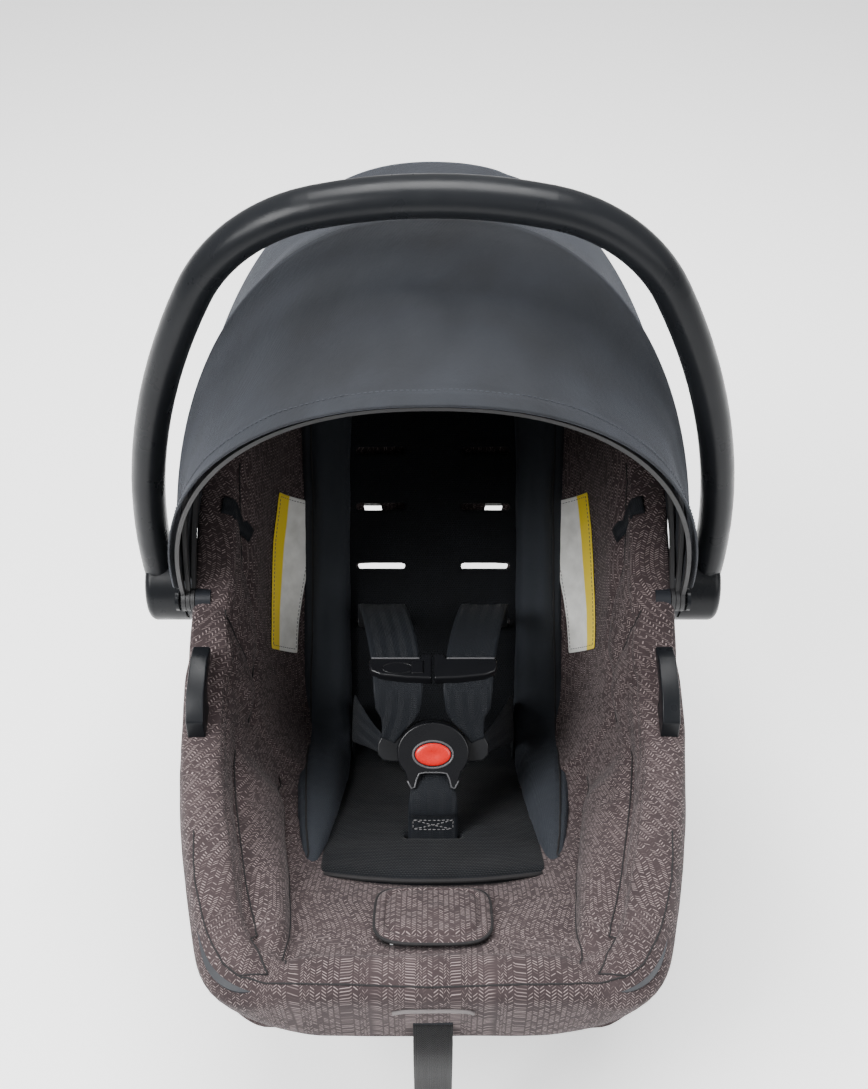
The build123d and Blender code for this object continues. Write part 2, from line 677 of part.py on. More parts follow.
def flap():
    """Padded flap of the seat cover over the adjuster's button."""
    lift = 6.5
    block = profile_x(strip([on_seat(-202, lift), on_seat(-256, lift)], 9), (-36, 36))
    tilt = Rot(SEAT_PITCH, 0, 0)
    middle = on_seat(-229, lift)
    rounding = Pos(0, *middle) * tilt * extrude(RectangleRounded(72, 60, 14), 20, both=True)
    return block & rounding


def soft_goods():
    back_in, leg_in = tub(PAD_BACK[1]), tub(PAD_LEG[1])
    room = tub(PAD_BACK[1] - GAP)
    save(liner(tub(LINER[0]), tub(LINER[1])), "foam_liner")
    save(back_pad(tub(PAD_BACK[0]), back_in), "seat_pad_back")
    save(leg_pad(tub(PAD_LEG[0]), leg_in), "seat_pad_leg")
    save(skirt(tub(SKIRT[1]), tub(SKIRT[0]), leg_in), "seat_cover_skirt")
    half = INSERT_T / 2
    save(insert_flat([on_seat(-188, -half), on_seat(8, -half)], room), "insert_seat")
    save(insert_flat([on_back(22, -half), on_back(250, -half)], room), "insert_back")
    both_sides(bolster(room), "insert_bolster")
    both_sides(care_label(room - tub(PAD_BACK[1] - GAP - 1)), "care_label")
    loop = pad_loop()
    save(Compound([loop, mirror(loop, Plane.YZ)]), "pad_loops")
    save(flap(), "adjuster_flap")


def harness():
    both_sides(shoulder_strap(), "shoulder_strap")
    both_sides(lap_strap(), "lap_strap")
    save(crotch_strap(), "crotch_strap")
    save(strap_anchor(58, Pos(0, *on_seat(CROTCH_Y, -50)) * Rot(SEAT_PITCH, 0, 0)), "crotch_anchor")
    both_sides(strap_anchor(58, Pos(HIP_SLOT[0], HIP_SLOT[1], 28) * Rot(0, 0, 90)), "hip_anchor")
    both_sides(tongue(), "buckle_tongue")
    buckle()
    chest_clip()


def main():
    save(shell(tub(0), tub(-WALL)), "shell")
    for name, place in BARS.items():
        save(rod_x((-RUNNER_X[1], RUNNER_X[1]), *place, BAR_R), f"latch_bar_{name}")
    save(handle(), "carry_handle")
    for name, piece in hub_pieces().items():
        both_sides(piece, name)
    canopy()
    soft_goods()
    harness()
    save(splitter_plate(), "splitter_plate")
    save(adjuster_strap(), "adjuster_strap")
    save(adjuster_tail(), "adjuster_tail")
    for name, piece in zip(("housing", "button", "spring"), adjuster()):
        save(piece, f"adjuster_{name}")
    both_sides(belt_guide(), "belt_guide")
    save(release_lever(), "release_lever")
    save(rod_x((-LEVER_X - 7, LEVER_X + 7), *LEVER_PIVOT, 3), "release_pin")
    save(release_spring(), "release_spring")


if __name__ == "__main__":
    main()
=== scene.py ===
import json
import math

import bmesh
import bpy
import numpy as np
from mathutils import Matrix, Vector, noise
from mathutils.bvhtree import BVHTree


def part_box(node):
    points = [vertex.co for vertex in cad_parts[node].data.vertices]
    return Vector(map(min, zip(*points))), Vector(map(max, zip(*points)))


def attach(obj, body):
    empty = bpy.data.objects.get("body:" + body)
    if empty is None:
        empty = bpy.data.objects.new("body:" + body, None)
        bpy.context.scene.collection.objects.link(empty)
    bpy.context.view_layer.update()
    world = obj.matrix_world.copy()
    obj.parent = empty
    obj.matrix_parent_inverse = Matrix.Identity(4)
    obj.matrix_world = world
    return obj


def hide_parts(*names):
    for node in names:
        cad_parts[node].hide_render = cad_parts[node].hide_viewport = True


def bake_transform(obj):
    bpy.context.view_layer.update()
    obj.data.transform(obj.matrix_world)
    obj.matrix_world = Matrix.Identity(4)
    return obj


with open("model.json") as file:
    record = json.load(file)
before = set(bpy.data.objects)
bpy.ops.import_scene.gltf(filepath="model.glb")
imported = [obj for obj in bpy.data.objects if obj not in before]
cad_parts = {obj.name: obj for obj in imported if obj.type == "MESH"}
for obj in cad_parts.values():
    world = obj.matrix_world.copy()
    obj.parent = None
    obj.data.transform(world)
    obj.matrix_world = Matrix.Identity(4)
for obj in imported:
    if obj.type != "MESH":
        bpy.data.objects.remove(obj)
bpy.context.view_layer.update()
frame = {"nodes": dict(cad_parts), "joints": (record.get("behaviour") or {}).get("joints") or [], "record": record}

MM = 0.001
NODES = frame["nodes"]


# ---------------------------------------------------------------- helpers: meshes
def new_object(name, points, faces, material=None, smooth=True):
    """A mesh object from points in metres."""
    mesh = bpy.data.meshes.new(name)
    mesh.from_pydata([tuple(p) for p in points], [], [tuple(f) for f in faces])
    mesh.update()
    obj = bpy.data.objects.new(name, mesh)
    bpy.context.scene.collection.objects.link(obj)
    if smooth:
        mesh.polygons.foreach_set("use_smooth", [True] * len(mesh.polygons))
    if material:
        mesh.materials.append(material)
    return obj


def grid_faces(rows, columns, wrap=False):
    """Quads of a grid stored row by row; wrap joins the last column to the first."""
    faces = []
    for i in range(rows - 1):
        for j in range(columns if wrap else columns - 1):
            k = (j + 1) % columns
            faces.append((i * columns + j, i * columns + k, (i + 1) * columns + k, (i + 1) * columns + j))
    return faces


def tube_faces(rows, ring):
    """Faces of a closed tube of rings, with its two ends."""
    faces = grid_faces(rows, ring, wrap=True)
    faces.append(tuple(range(ring)))
    faces.append(tuple((rows - 1) * ring + k for k in reversed(range(ring))))
    return faces


def run_along(grid, axis):
    """Distance covered so far at each grid point, down its columns (0) or along its rows (1)."""
    steps = np.linalg.norm(np.diff(grid, axis=axis), axis=2)
    start = np.zeros_like(np.take(steps, [0], axis))
    return np.concatenate([start, np.cumsum(steps, axis)], axis)


def vertex_values(obj, what="co"):
    """The position or the normal of every vertex, one to a row."""
    values = np.zeros(len(obj.data.vertices) * 3, np.float32)
    obj.data.vertices.foreach_get(what, values)
    return values.reshape(-1, 3)


def side_name(side):
    return "left" if side > 0 else "right"


def set_weave(obj, coordinates):
    """Stores the cloth's own (across, along) position in millimetres on each point, for its weave."""
    layer = obj.data.attributes.new("weave", "FLOAT_VECTOR", "POINT")
    flat = np.zeros((len(obj.data.vertices), 3), np.float32)
    flat[:, :2] = coordinates
    layer.data.foreach_set("vector", flat.ravel())


def add_modifier(obj, kind, **settings):
    modifier = obj.modifiers.new(kind.lower(), kind)
    for key, value in settings.items():
        setattr(modifier, key, value)
    return modifier


def apply_modifiers(obj):
    """Turns an object's modifiers into its mesh."""
    bpy.context.view_layer.update()
    graph = bpy.context.evaluated_depsgraph_get()
    mesh = bpy.data.meshes.new_from_object(obj.evaluated_get(graph), depsgraph=graph)
    obj.modifiers.clear()
    obj.data = mesh
    return obj


def tree_of(*names):
    """A search tree over the faces of CAD nodes."""
    points, faces = [], []
    for name in names:
        mesh = NODES[name].data
        base = len(points)
        points += [v.co.copy() for v in mesh.vertices]
        faces += [tuple(base + i for i in p.vertices) for p in mesh.polygons]
    return BVHTree.FromPolygons(points, faces)


def smoothstep(low, high, x):
    t = np.clip((x - low) / (high - low), 0, 1)
    return t * t * (3 - 2 * t)


def finish_piece(obj, body, slot, *replaced):
    """Rides a piece on its body and hides the CAD nodes that it stands for; slot is not used."""
    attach(obj, body)
    if replaced:
        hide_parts(*replaced)
    return obj


# ---------------------------------------------------------------- helpers: materials
class Shader:
    """A principled material, and short calls that add nodes to it."""

    def __init__(self, name, color, roughness, **sockets):
        self.material = bpy.data.materials.new(name)
        self.material.use_nodes = True
        self.tree = self.material.node_tree
        self.surface = self.tree.nodes["Principled BSDF"]
        self.surface.inputs["Base Color"].default_value = (*color, 1)
        self.surface.inputs["Roughness"].default_value = roughness
        for key, value in sockets.items():
            self.surface.inputs[key.replace("_", " ")].default_value = value

    def add(self, kind, inputs, output=0, **settings):
        made = self.tree.nodes.new(kind)
        for key, value in settings.items():
            setattr(made, key, value)
        for key, value in inputs.items():
            self.feed(made.inputs[key], value)
        return made.outputs[output]

    def feed(self, socket, value):
        if isinstance(value, bpy.types.NodeSocket):
            self.tree.links.new(value, socket)
        else:
            socket.default_value = value

    def math(self, operation, *values):
        return self.add("ShaderNodeMath", dict(enumerate(values)), operation=operation)

    def position(self):
        return self.add("ShaderNodeTexCoord", {}, output="Object")

    def weave(self):
        """The cloth's own (across, along, 0) in millimetres."""
        return self.add("ShaderNodeAttribute", {}, output="Vector", attribute_name="weave")

    def split(self, vector):
        made = self.tree.nodes.new("ShaderNodeSeparateXYZ")
        self.feed(made.inputs[0], vector)
        return made.outputs[0], made.outputs[1], made.outputs[2]

    def join(self, x, y, z=0.0):
        return self.add("ShaderNodeCombineXYZ", {0: x, 1: y, 2: z})

    def noise(self, vector, scale, detail=3.0, roughness=0.5):
        return self.add("ShaderNodeTexNoise", {"Vector": vector, "Scale": scale, "Detail": detail,
                                               "Roughness": roughness}, output="Fac")

    def mix(self, factor, a, b):
        """A colour between a and b."""
        made = self.tree.nodes.new("ShaderNodeMix")
        made.data_type = "RGBA"
        self.feed(made.inputs["Factor"], factor)
        for socket, value in ((made.inputs[6], a), (made.inputs[7], b)):
            self.feed(socket, value if isinstance(value, bpy.types.NodeSocket) else (*value, 1))
        return made.outputs[2]

    def range(self, value, low, high, to_low=0.0, to_high=1.0):
        return self.add("ShaderNodeMapRange", {"Value": value, "From Min": low, "From Max": high,
                                               "To Min": to_low, "To Max": to_high})

    def color(self, value):
        self.feed(self.surface.inputs["Base Color"], value)

    def roughness(self, value):
        self.feed(self.surface.inputs["Roughness"], value)

    def bump(self, *layers):
        """Heights in millimetres: each layer is (height, size)."""
        normal = None
        for height, size in layers:
            inputs = {"Height": height, "Strength": 1.0, "Distance": size * MM}
            if normal:
                inputs["Normal"] = normal
            normal = self.add("ShaderNodeBump", inputs)
        self.feed(self.surface.inputs["Normal"], normal)
        return self.material


def moulded_plastic(name, color, roughness, grain=0.03, grain_scale=900.0, worn=0.06, gloss=0.4):
    """Moulded plastic: fine spark-eroded grain, faint flow marks and a little colour drift."""
    s = Shader(name, color, roughness, Specular_IOR_Level=gloss)
    place = s.position()
    drift = s.noise(place, 14.0, 4.0)
    fine = s.noise(place, grain_scale, 2.0)
    lighter = [min(1.0, c * (1 + 4 * worn) + worn * 0.05) for c in color]
    s.color(s.mix(s.range(drift, 0.3, 0.7), color, lighter))
    s.roughness(s.range(s.noise(place, 45.0, 3.0), 0.3, 0.7, roughness - 0.05, roughness + 0.07))
    return s.bump((fine, grain), (drift, 0.25))


def brushed_steel(name):
    s = Shader(name, (0.62, 0.62, 0.63), 0.32, Metallic=1.0)
    x, y, z = s.split(s.position())
    streak = s.noise(s.join(s.math("MULTIPLY", x, 40.0), y, z), 60.0, 4.0)
    s.roughness(s.range(streak, 0.3, 0.7, 0.24, 0.42))
    return s.bump((streak, 0.02))


DASH_COLUMN, DASH_ROW, DASH_SLANT = 3.6, 1.8, 2.2       # the herringbone's pitches, in millimetres


def herringbone(name):
    """Brown melange knit with short pale dashes that slant one way in one column and back in the next."""
    s = Shader(name, (0.05, 0.038, 0.038), 0.9, Sheen_Weight=0.06, Sheen_Roughness=0.5,
               Specular_IOR_Level=0.15)
    cloth = s.weave()
    wobble = s.math("SUBTRACT", s.noise(cloth, 0.35, 2.0), 0.5)
    across, along, _ = s.split(cloth)
    across = s.math("ADD", across, s.math("MULTIPLY", wobble, 0.5))
    column_at = s.math("DIVIDE", across, DASH_COLUMN)
    column = s.math("FLOOR", column_at)
    inside = s.math("FRACT", column_at)
    odd = s.math("MULTIPLY", s.math("FRACT", s.math("MULTIPLY", column, 0.5)), 4.0)
    slant = s.math("MULTIPLY", s.math("MULTIPLY", s.math("SUBTRACT", odd, 1.0), inside), DASH_SLANT)
    row_at = s.math("DIVIDE", s.math("ADD", along, slant), DASH_ROW)
    row = s.math("FLOOR", row_at)
    height = s.math("ABSOLUTE", s.math("SUBTRACT", s.math("FRACT", row_at), 0.5))
    chance = s.add("ShaderNodeTexWhiteNoise", {"Vector": s.join(column, row)}, output="Value",
                   noise_dimensions="3D")
    dash = s.range(height, 0.07, 0.21, 1.0, 0.0)
    ends = s.range(s.math("ABSOLUTE", s.math("SUBTRACT", inside, 0.5)), 0.30, 0.44, 1.0, 0.0)
    dash = s.math("MULTIPLY", s.math("MULTIPLY", dash, ends), s.range(chance, 0.12, 0.5))
    blotch = s.noise(cloth, 0.02, 3.0)
    ground = s.mix(s.range(blotch, 0.3, 0.7), (0.031, 0.0222, 0.0232), (0.046, 0.0335, 0.0345))
    pale = s.mix(chance, (0.130, 0.099, 0.099), (0.30, 0.240, 0.235))
    s.color(s.mix(dash, ground, pale))
    fuzz = s.noise(cloth, 1.6, 3.0)
    return s.bump((dash, 0.18), (fuzz, 0.35))


def twill(name, color, second, pitch=0.9, sheen=0.5, roughness=0.75, fade=0.5):
    """Plain fine cloth with a diagonal rib, soft fading and a little lint."""
    s = Shader(name, color, roughness, Sheen_Weight=sheen, Sheen_Roughness=0.35, Specular_IOR_Level=0.35)
    s.surface.inputs["Sheen Tint"].default_value = (0.75, 0.82, 1.0, 1)
    place = s.weave()
    x, y, _ = s.split(place)
    diagonal = s.math("FRACT", s.math("DIVIDE", s.math("ADD", x, y), pitch))
    rib = s.math("SINE", s.math("MULTIPLY", diagonal, math.tau))
    thread = s.math("SINE", s.math("MULTIPLY", s.math("DIVIDE", x, pitch * 0.5), math.tau))
    wear = s.noise(place, 0.018, 5.0)
    s.color(s.mix(s.math("MULTIPLY", s.range(wear, 0.35, 0.75), fade), color, second))
    return s.bump((rib, 0.05), (thread, 0.03), (s.noise(place, 0.25, 4.0), 0.35))


def knit(name, color, second, pitch=2.2):
    """Spacer mesh: rows of small round openings over a darker backing."""
    s = Shader(name, color, 0.8, Sheen_Weight=0.08, Sheen_Roughness=0.4, Specular_IOR_Level=0.2)
    place = s.weave()
    x, y, _ = s.split(place)
    row_at = s.math("DIVIDE", y, pitch * 0.87)
    row = s.math("FLOOR", row_at)
    shift = s.math("FRACT", s.math("MULTIPLY", row, 0.5))
    cell_x = s.math("SUBTRACT", s.math("FRACT", s.math("ADD", s.math("DIVIDE", x, pitch), shift)), 0.5)
    cell_y = s.math("SUBTRACT", s.math("FRACT", row_at), 0.5)
    squares = [s.math("MULTIPLY", cell, cell) for cell in (cell_x, cell_y)]
    away = s.math("SQRT", s.math("ADD", *squares))
    pit = s.range(away, 0.18, 0.36)
    drift = s.noise(place, 0.03, 4.0)
    solid = s.mix(s.range(drift, 0.3, 0.7), color, second)
    s.color(s.mix(pit, [c * 0.35 for c in color], solid))
    return s.bump((pit, 0.25), (s.noise(place, 0.4, 3.0), 0.3))


def webbing_cloth(name, width, color=(0.0080, 0.0092, 0.0115)):
    """Woven strap: chevron ribs along its length and a plain woven edge on each side."""
    s = Shader(name, color, 0.5, Sheen_Weight=0.03, Sheen_Roughness=0.4, Specular_IOR_Level=0.16)
    x, y, _ = s.split(s.weave())
    side = s.math("ABSOLUTE", x)
    slant = s.math("PINGPONG", side, width / 8)
    rib_at = s.math("DIVIDE", s.math("ADD", y, s.math("MULTIPLY", slant, 1.4)), 1.6)
    rib = s.math("SINE", s.math("MULTIPLY", rib_at, math.tau))
    cord = s.math("SINE", s.math("MULTIPLY", s.math("DIVIDE", x, 1.1), math.tau))
    edge = s.range(side, width / 2 - 2.4, width / 2 - 1.6)
    height = s.math("MULTIPLY", rib, s.math("SUBTRACT", 1.0, edge))
    lighter = [c * 2.2 for c in color]
    s.color(s.mix(s.range(rib, -0.5, 1.0), color, lighter))
    return s.bump((height, 0.16), (cord, 0.07), (edge, 0.2))


def satin_tape(name):
    """Woven care label: white satin with a plain yellow band along its outer side."""
    s = Shader(name, (0.84, 0.84, 0.8), 0.5, Sheen_Weight=0.2, Specular_IOR_Level=0.5)
    x, y, _ = s.split(s.weave())
    band = s.range(x, 5.5, 6.1)
    crease = s.noise(s.weave(), 0.08, 3.0)
    white = s.mix(s.range(crease, 0.3, 0.7), (0.66, 0.66, 0.63), (0.84, 0.84, 0.81))
    s.color(s.mix(band, white, (0.83, 0.62, 0.03)))
    thread = s.math("SINE", s.math("MULTIPLY", s.math("DIVIDE", y, 0.45), math.tau))
    return s.bump((thread, 0.03), (crease, 0.4))


def thread_material(name, color):
    s = Shader(name, color, 0.7, Sheen_Weight=0.03, Specular_IOR_Level=0.15)
    twist = s.noise(s.position(), 1500.0, 2.0)
    s.color(s.mix(twist, color, [min(1.0, c * 1.7 + 0.01) for c in color]))
    return s.bump((twist, 0.08))


def bead_foam(name):
    s = Shader(name, (0.82, 0.82, 0.81), 0.8)
    cells = s.add("ShaderNodeTexVoronoi", {"Vector": s.position(), "Scale": 320.0}, output="Distance")
    s.color(s.mix(cells, (0.74, 0.74, 0.73), (0.86, 0.86, 0.85)))
    return s.bump((cells, -0.4))


SHELL = moulded_plastic("shell_plastic", (0.013, 0.0145, 0.018), 0.42, 0.05, 700.0, 0.05, 0.2)
HANDLE = moulded_plastic("handle_plastic", (0.0075, 0.0083, 0.0098), 0.30, 0.03, 900.0, 0.03, 0.14)
INNER = moulded_plastic("inner_plastic", (0.02, 0.02, 0.021), 0.5)
BUCKLE = moulded_plastic("buckle_plastic", (0.0065, 0.0068, 0.0082), 0.28, 0.02, 1100.0, 0.02, 0.3)
RED = moulded_plastic("red_plastic", (0.62, 0.012, 0.010), 0.28, 0.01, 900.0, 0.03)
STEEL = brushed_steel("steel")
COVER = herringbone("seat_cover")
CANOPY = twill("canopy_cloth", (0.0074, 0.0088, 0.0120), (0.022, 0.026, 0.034), sheen=0.11)
LINING = twill("canopy_lining", (0.0035, 0.0042, 0.0058), (0.008, 0.0094, 0.0125), sheen=0.05)
KNIT = knit("insert_knit", (0.0034, 0.0042, 0.0058), (0.0060, 0.0073, 0.0098))
SOFT_KNIT = twill("bolster_knit", (0.0200, 0.0235, 0.0300), (0.031, 0.036, 0.045), sheen=0.1,
                  roughness=0.85)
STRAP = webbing_cloth("harness_webbing", 38.0)
TAIL = webbing_cloth("adjuster_webbing", 25.0, (0.0030, 0.0031, 0.0036))
LABEL = satin_tape("label_tape")
FOAM = bead_foam("bead_foam")
PIPING = thread_material("piping", (0.11, 0.10, 0.10))
DARK_THREAD = thread_material("dark_thread", (0.009, 0.0085, 0.009))
PALE_THREAD = thread_material("pale_thread", (0.10, 0.098, 0.10))
CANOPY_THREAD = thread_material("canopy_thread", (0.030, 0.033, 0.040))

SLOT_MATERIALS = {
    "shell_plastic": SHELL, "handle_plastic": HANDLE, "inner_plastic": INNER, "buckle_plastic": BUCKLE,
    "red_button": RED, "steel": STEEL, "canopy_cloth": CANOPY, "foam": FOAM, "seat_cover": COVER,
    "insert_knit": KNIT, "label": LABEL, "webbing": STRAP,
}


def dress_cad_nodes():
    """Gives each CAD node the finished material of its slot."""
    for part in frame["record"]["subparts"]:
        node = NODES[part["node"]]
        node.data.materials.clear()
        glossy = part["node"].startswith("belt_guide")
        node.data.materials.append(HANDLE if glossy else SLOT_MATERIALS[part["material_slot"]])


# ---------------------------------------------------------------- camera, floor and light
CAMERA_PLACE = (0, -0.668, 0.9274)      # above the foot end, looking down into the seat
CAMERA_TILT = math.radians(47.5)
CAMERA_LENS, SENSOR_WIDTH = 39.68, 36.0
CAMERA_SHIFT = (0.0009, 0.0196)
FLOOR_HALF, FLOOR_GLOW, WORLD_LIGHT = 6.0, 0.75, 0.42


def camera():
    data = bpy.data.cameras.new("camera")
    data.sensor_width = SENSOR_WIDTH
    data.lens = CAMERA_LENS
    data.shift_x, data.shift_y = CAMERA_SHIFT
    data.clip_end = 20.0
    obj = bpy.data.objects.new("camera", data)
    obj.location = CAMERA_PLACE
    obj.rotation_euler = (CAMERA_TILT, 0, 0)
    bpy.context.scene.collection.objects.link(obj)
    bpy.context.scene.camera = obj


def area_light(name, place, target, size, power, color=(1, 1, 1)):
    data = bpy.data.lights.new(name, "AREA")
    data.shape = "RECTANGLE"
    data.size, data.size_y = size
    data.energy = power
    data.color = color
    obj = bpy.data.objects.new(name, data)
    obj.location = place
    obj.rotation_euler = (Vector(target) - Vector(place)).to_track_quat("-Z", "Y").to_euler()
    bpy.context.scene.collection.objects.link(obj)


def studio():
    floor_shader = Shader("floor", (0.93, 0.93, 0.93), 0.75)
    speckle = floor_shader.noise(floor_shader.position(), 120.0, 3.0)
    floor_shader.color(floor_shader.mix(speckle, (0.92, 0.92, 0.92), (0.95, 0.95, 0.95)))
    floor_shader.surface.inputs["Emission Color"].default_value = (1, 1, 1, 1)
    floor_shader.surface.inputs["Emission Strength"].default_value = FLOOR_GLOW
    half = FLOOR_HALF
    floor = new_object("floor", [(-half, -half, 0), (half, -half, 0), (half, half, 0), (-half, half, 0)],
                       [(0, 1, 2, 3)], floor_shader.material)
    world = bpy.data.worlds.new("studio")
    world.use_nodes = True
    background = world.node_tree.nodes["Background"]
    background.inputs["Color"].default_value = (1, 1, 1, 1)
    background.inputs["Strength"].default_value = WORLD_LIGHT
    bpy.context.scene.world = world
    area_light("key", (-1.3, -0.9, 1.9), (0, 0, 0.3), (1.1, 1.1), 84)
    area_light("fill", (1.6, -1.1, 1.5), (0, 0, 0.3), (1.6, 1.6), 26)
    area_light("top", (0.0, 0.5, 2.2), (0, 0, 0.3), (1.4, 1.0), 80)


# ---------------------------------------------------------------- the adjuster strap's hanging end
TAIL_ROUTE = [(0, -0.3085, 0.2098), (0, -0.3165, 0.196), (0, -0.319, 0.176), (0, -0.3168, 0.146),
              (0, -0.3178, 0.108), (0, -0.3156, 0.068), (0, -0.3164, 0.030)]
TAIL_WIDTH = 0.025
TAIL_THICKNESS = 0.0014


def spline_points(route, resolution=12):
    """Points along the smooth line that has the route as its control points."""
    data = bpy.data.curves.new("route", "CURVE")
    data.dimensions = "3D"
    spline = data.splines.new("NURBS")
    spline.points.add(len(route) - 1)
    for point, place in zip(spline.points, route):
        point.co = (*place, 1)
    spline.order_u = 3
    spline.use_endpoint_u = True
    spline.resolution_u = resolution
    obj = bpy.data.objects.new("route", data)
    bpy.context.scene.collection.objects.link(obj)
    bpy.context.view_layer.update()
    mesh = bpy.data.meshes.new_from_object(obj)
    points = [v.co.copy() for v in mesh.vertices]
    bpy.data.meshes.remove(mesh)
    bpy.data.objects.remove(obj)
    bpy.data.curves.remove(data)
    return points


def ribbon(name, line, across, width, thickness, material, cup=0.0, columns=9):
    """A closed band of webbing along a line; across is its width direction, one for all or one each."""
    line = [Vector(p) for p in line]
    along, points, weave = 0.0, [], []
    widths = width if hasattr(width, "__len__") else [width] * len(line)
    for i, here in enumerate(line):
        tangent = (line[min(i + 1, len(line) - 1)] - line[max(i - 1, 0)]).normalized()
        side = Vector(across[i] if hasattr(across[0], "__len__") else across).normalized()
        side = (side - tangent * side.dot(tangent)).normalized()
        up = side.cross(tangent).normalized()
        if i:
            along += (here - line[i - 1]).length
        for layer in (1, -1):
            for j in range(columns):
                t = 2 * j / (columns - 1) - 1
                order = t if layer == 1 else -t
                edge = max((1 - abs(order) ** 8) ** 0.5, 0.12)
                lift = layer * thickness / 2 * edge + cup * (1 - order * order)
                points.append(here + side * (order * widths[i] / 2) + up * lift)
                weave.append((order * widths[i] / 2 / MM, along / MM))
    obj = new_object(name, points, tube_faces(len(line), 2 * columns), material)
    set_weave(obj, weave)
    fix_normals(obj)
    return obj


def fix_normals(obj):
    """Turns the faces of a closed mesh outwards."""
    work = bmesh.new()
    work.from_mesh(obj.data)
    bmesh.ops.recalc_face_normals(work, faces=work.faces)
    work.to_mesh(obj.data)
    work.free()


def adjuster_tail():
    line = spline_points(TAIL_ROUTE)
    tail = ribbon("adjuster_tail_strap", line, (1, 0, 0), TAIL_WIDTH, TAIL_THICKNESS, TAIL)
    finish_piece(tail, "root", "webbing", "adjuster_tail")


# ---------------------------------------------------------------- seat cover
EYE = Vector((0, -0.010, 0.250))        # a point in the cabin that sees the whole inside of the cover
COVER_COLUMNS = 300
COVER_ROWS = 84
SKIRT_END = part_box("seat_cover_skirt")[1].y
COVER_THICKNESS = 0.0026
# The cover where it rolls over the rim: (out from the inner edge, up from the rim), in millimetres
ROLL = [(0.3, -2.5), (1.6, 1.2), (5.5, 3.8), (11, 5.0), (17, 5.2), (22, 4.6), (25.8, 2.8), (27.8, -0.6)]
FRONT_DROPS = [-6, -11, -16, -21, -26, -31, -36, -41, -45]
# Sewn seams of the cover on one side, in millimetres; the other side mirrors them
SEAMS = {
    "leg": [(150, -95, 214), (143, -140, 214), (127, -213, 224), (108, -277, 242), (102, -290, 243)],
    "pan": [(121, -75, 155), (110, -146, 171), (101, -191, 190), (95, -242, 212), (92, -284, 240)],
    "rim": [(163, -190, 248), (159, -227, 248), (151, -250, 247), (143, -268, 246), (132, -288, 246),
            (120, -296, 246), (80, -300, 246), (0, -303, 246)],
    "corner": [(120, -295, 245), (102, -290, 243)],
    "wing": [(154, 100, 336), (154, 65, 305), (152, 36, 282), (144, 7, 222), (142, -60, 205)],
    "dart": [(158, -17, 285), (151, -21, 256), (145, -26, 222)],
}
SHALLOW_SEAMS = ("rim", "corner")       # these lie over the shell's rim


def seam_x(name, y):
    """How far from the middle a seam lies at each y, in metres."""
    line = np.array(SEAMS[name][::-1], float) * MM
    return np.interp(y, line[:, 1], line[:, 0])


def rim_height(tree, out, low=0.21, high=0.42):
    """Height at which a level line from the cabin outwards just clears the pads."""
    for _ in range(14):
        middle = (low + high) / 2
        hit = tree.ray_cast(Vector((EYE.x, EYE.y, middle)), out)[0]
        low, high = (middle, high) if hit else (low, middle)
    return low


def closed_normals(curve):
    """Outward plan normals of a closed loop of points that runs anticlockwise."""
    ahead, behind = np.roll(curve, -2, 0), np.roll(curve, 2, 0)
    along = ahead - behind
    normal = np.stack([along[:, 1], -along[:, 0]], 1)
    return normal / np.linalg.norm(normal, axis=1, keepdims=True)


def fill_gaps(rows, known):
    """Points of the grid that the rays missed, at the slots, from their neighbours along each column."""
    index = np.arange(rows.shape[0])
    for j in range(rows.shape[1]):
        good = known[:, j]
        if good.all():
            continue
        for axis in range(3):
            rows[~good, j, axis] = np.interp(index[~good], index[good], rows[good, j, axis])
    return rows


def grid_normals(grid):
    """Normals of a closed-round grid (rows, columns, 3), towards the cabin."""
    down = np.gradient(grid, axis=0)
    around = np.roll(grid, -1, 1) - np.roll(grid, 1, 1)
    normal = np.cross(around, down)
    length = np.linalg.norm(normal, axis=2, keepdims=True)
    return -normal / np.maximum(length, 1e-12)


def folds(points, scale, seed, stretch=(1, 1, 1)):
    """Smooth random heights from -1 to 1 at points in metres."""
    offset = Vector((seed * 3.1, seed * 1.7, seed * 2.3))
    flat = points.reshape(-1, 3)
    made = [noise.noise(Vector((p[0] * stretch[0], p[1] * stretch[1], p[2] * stretch[2])) / scale + offset)
            for p in flat]
    return np.array(made).reshape(points.shape[:-1])


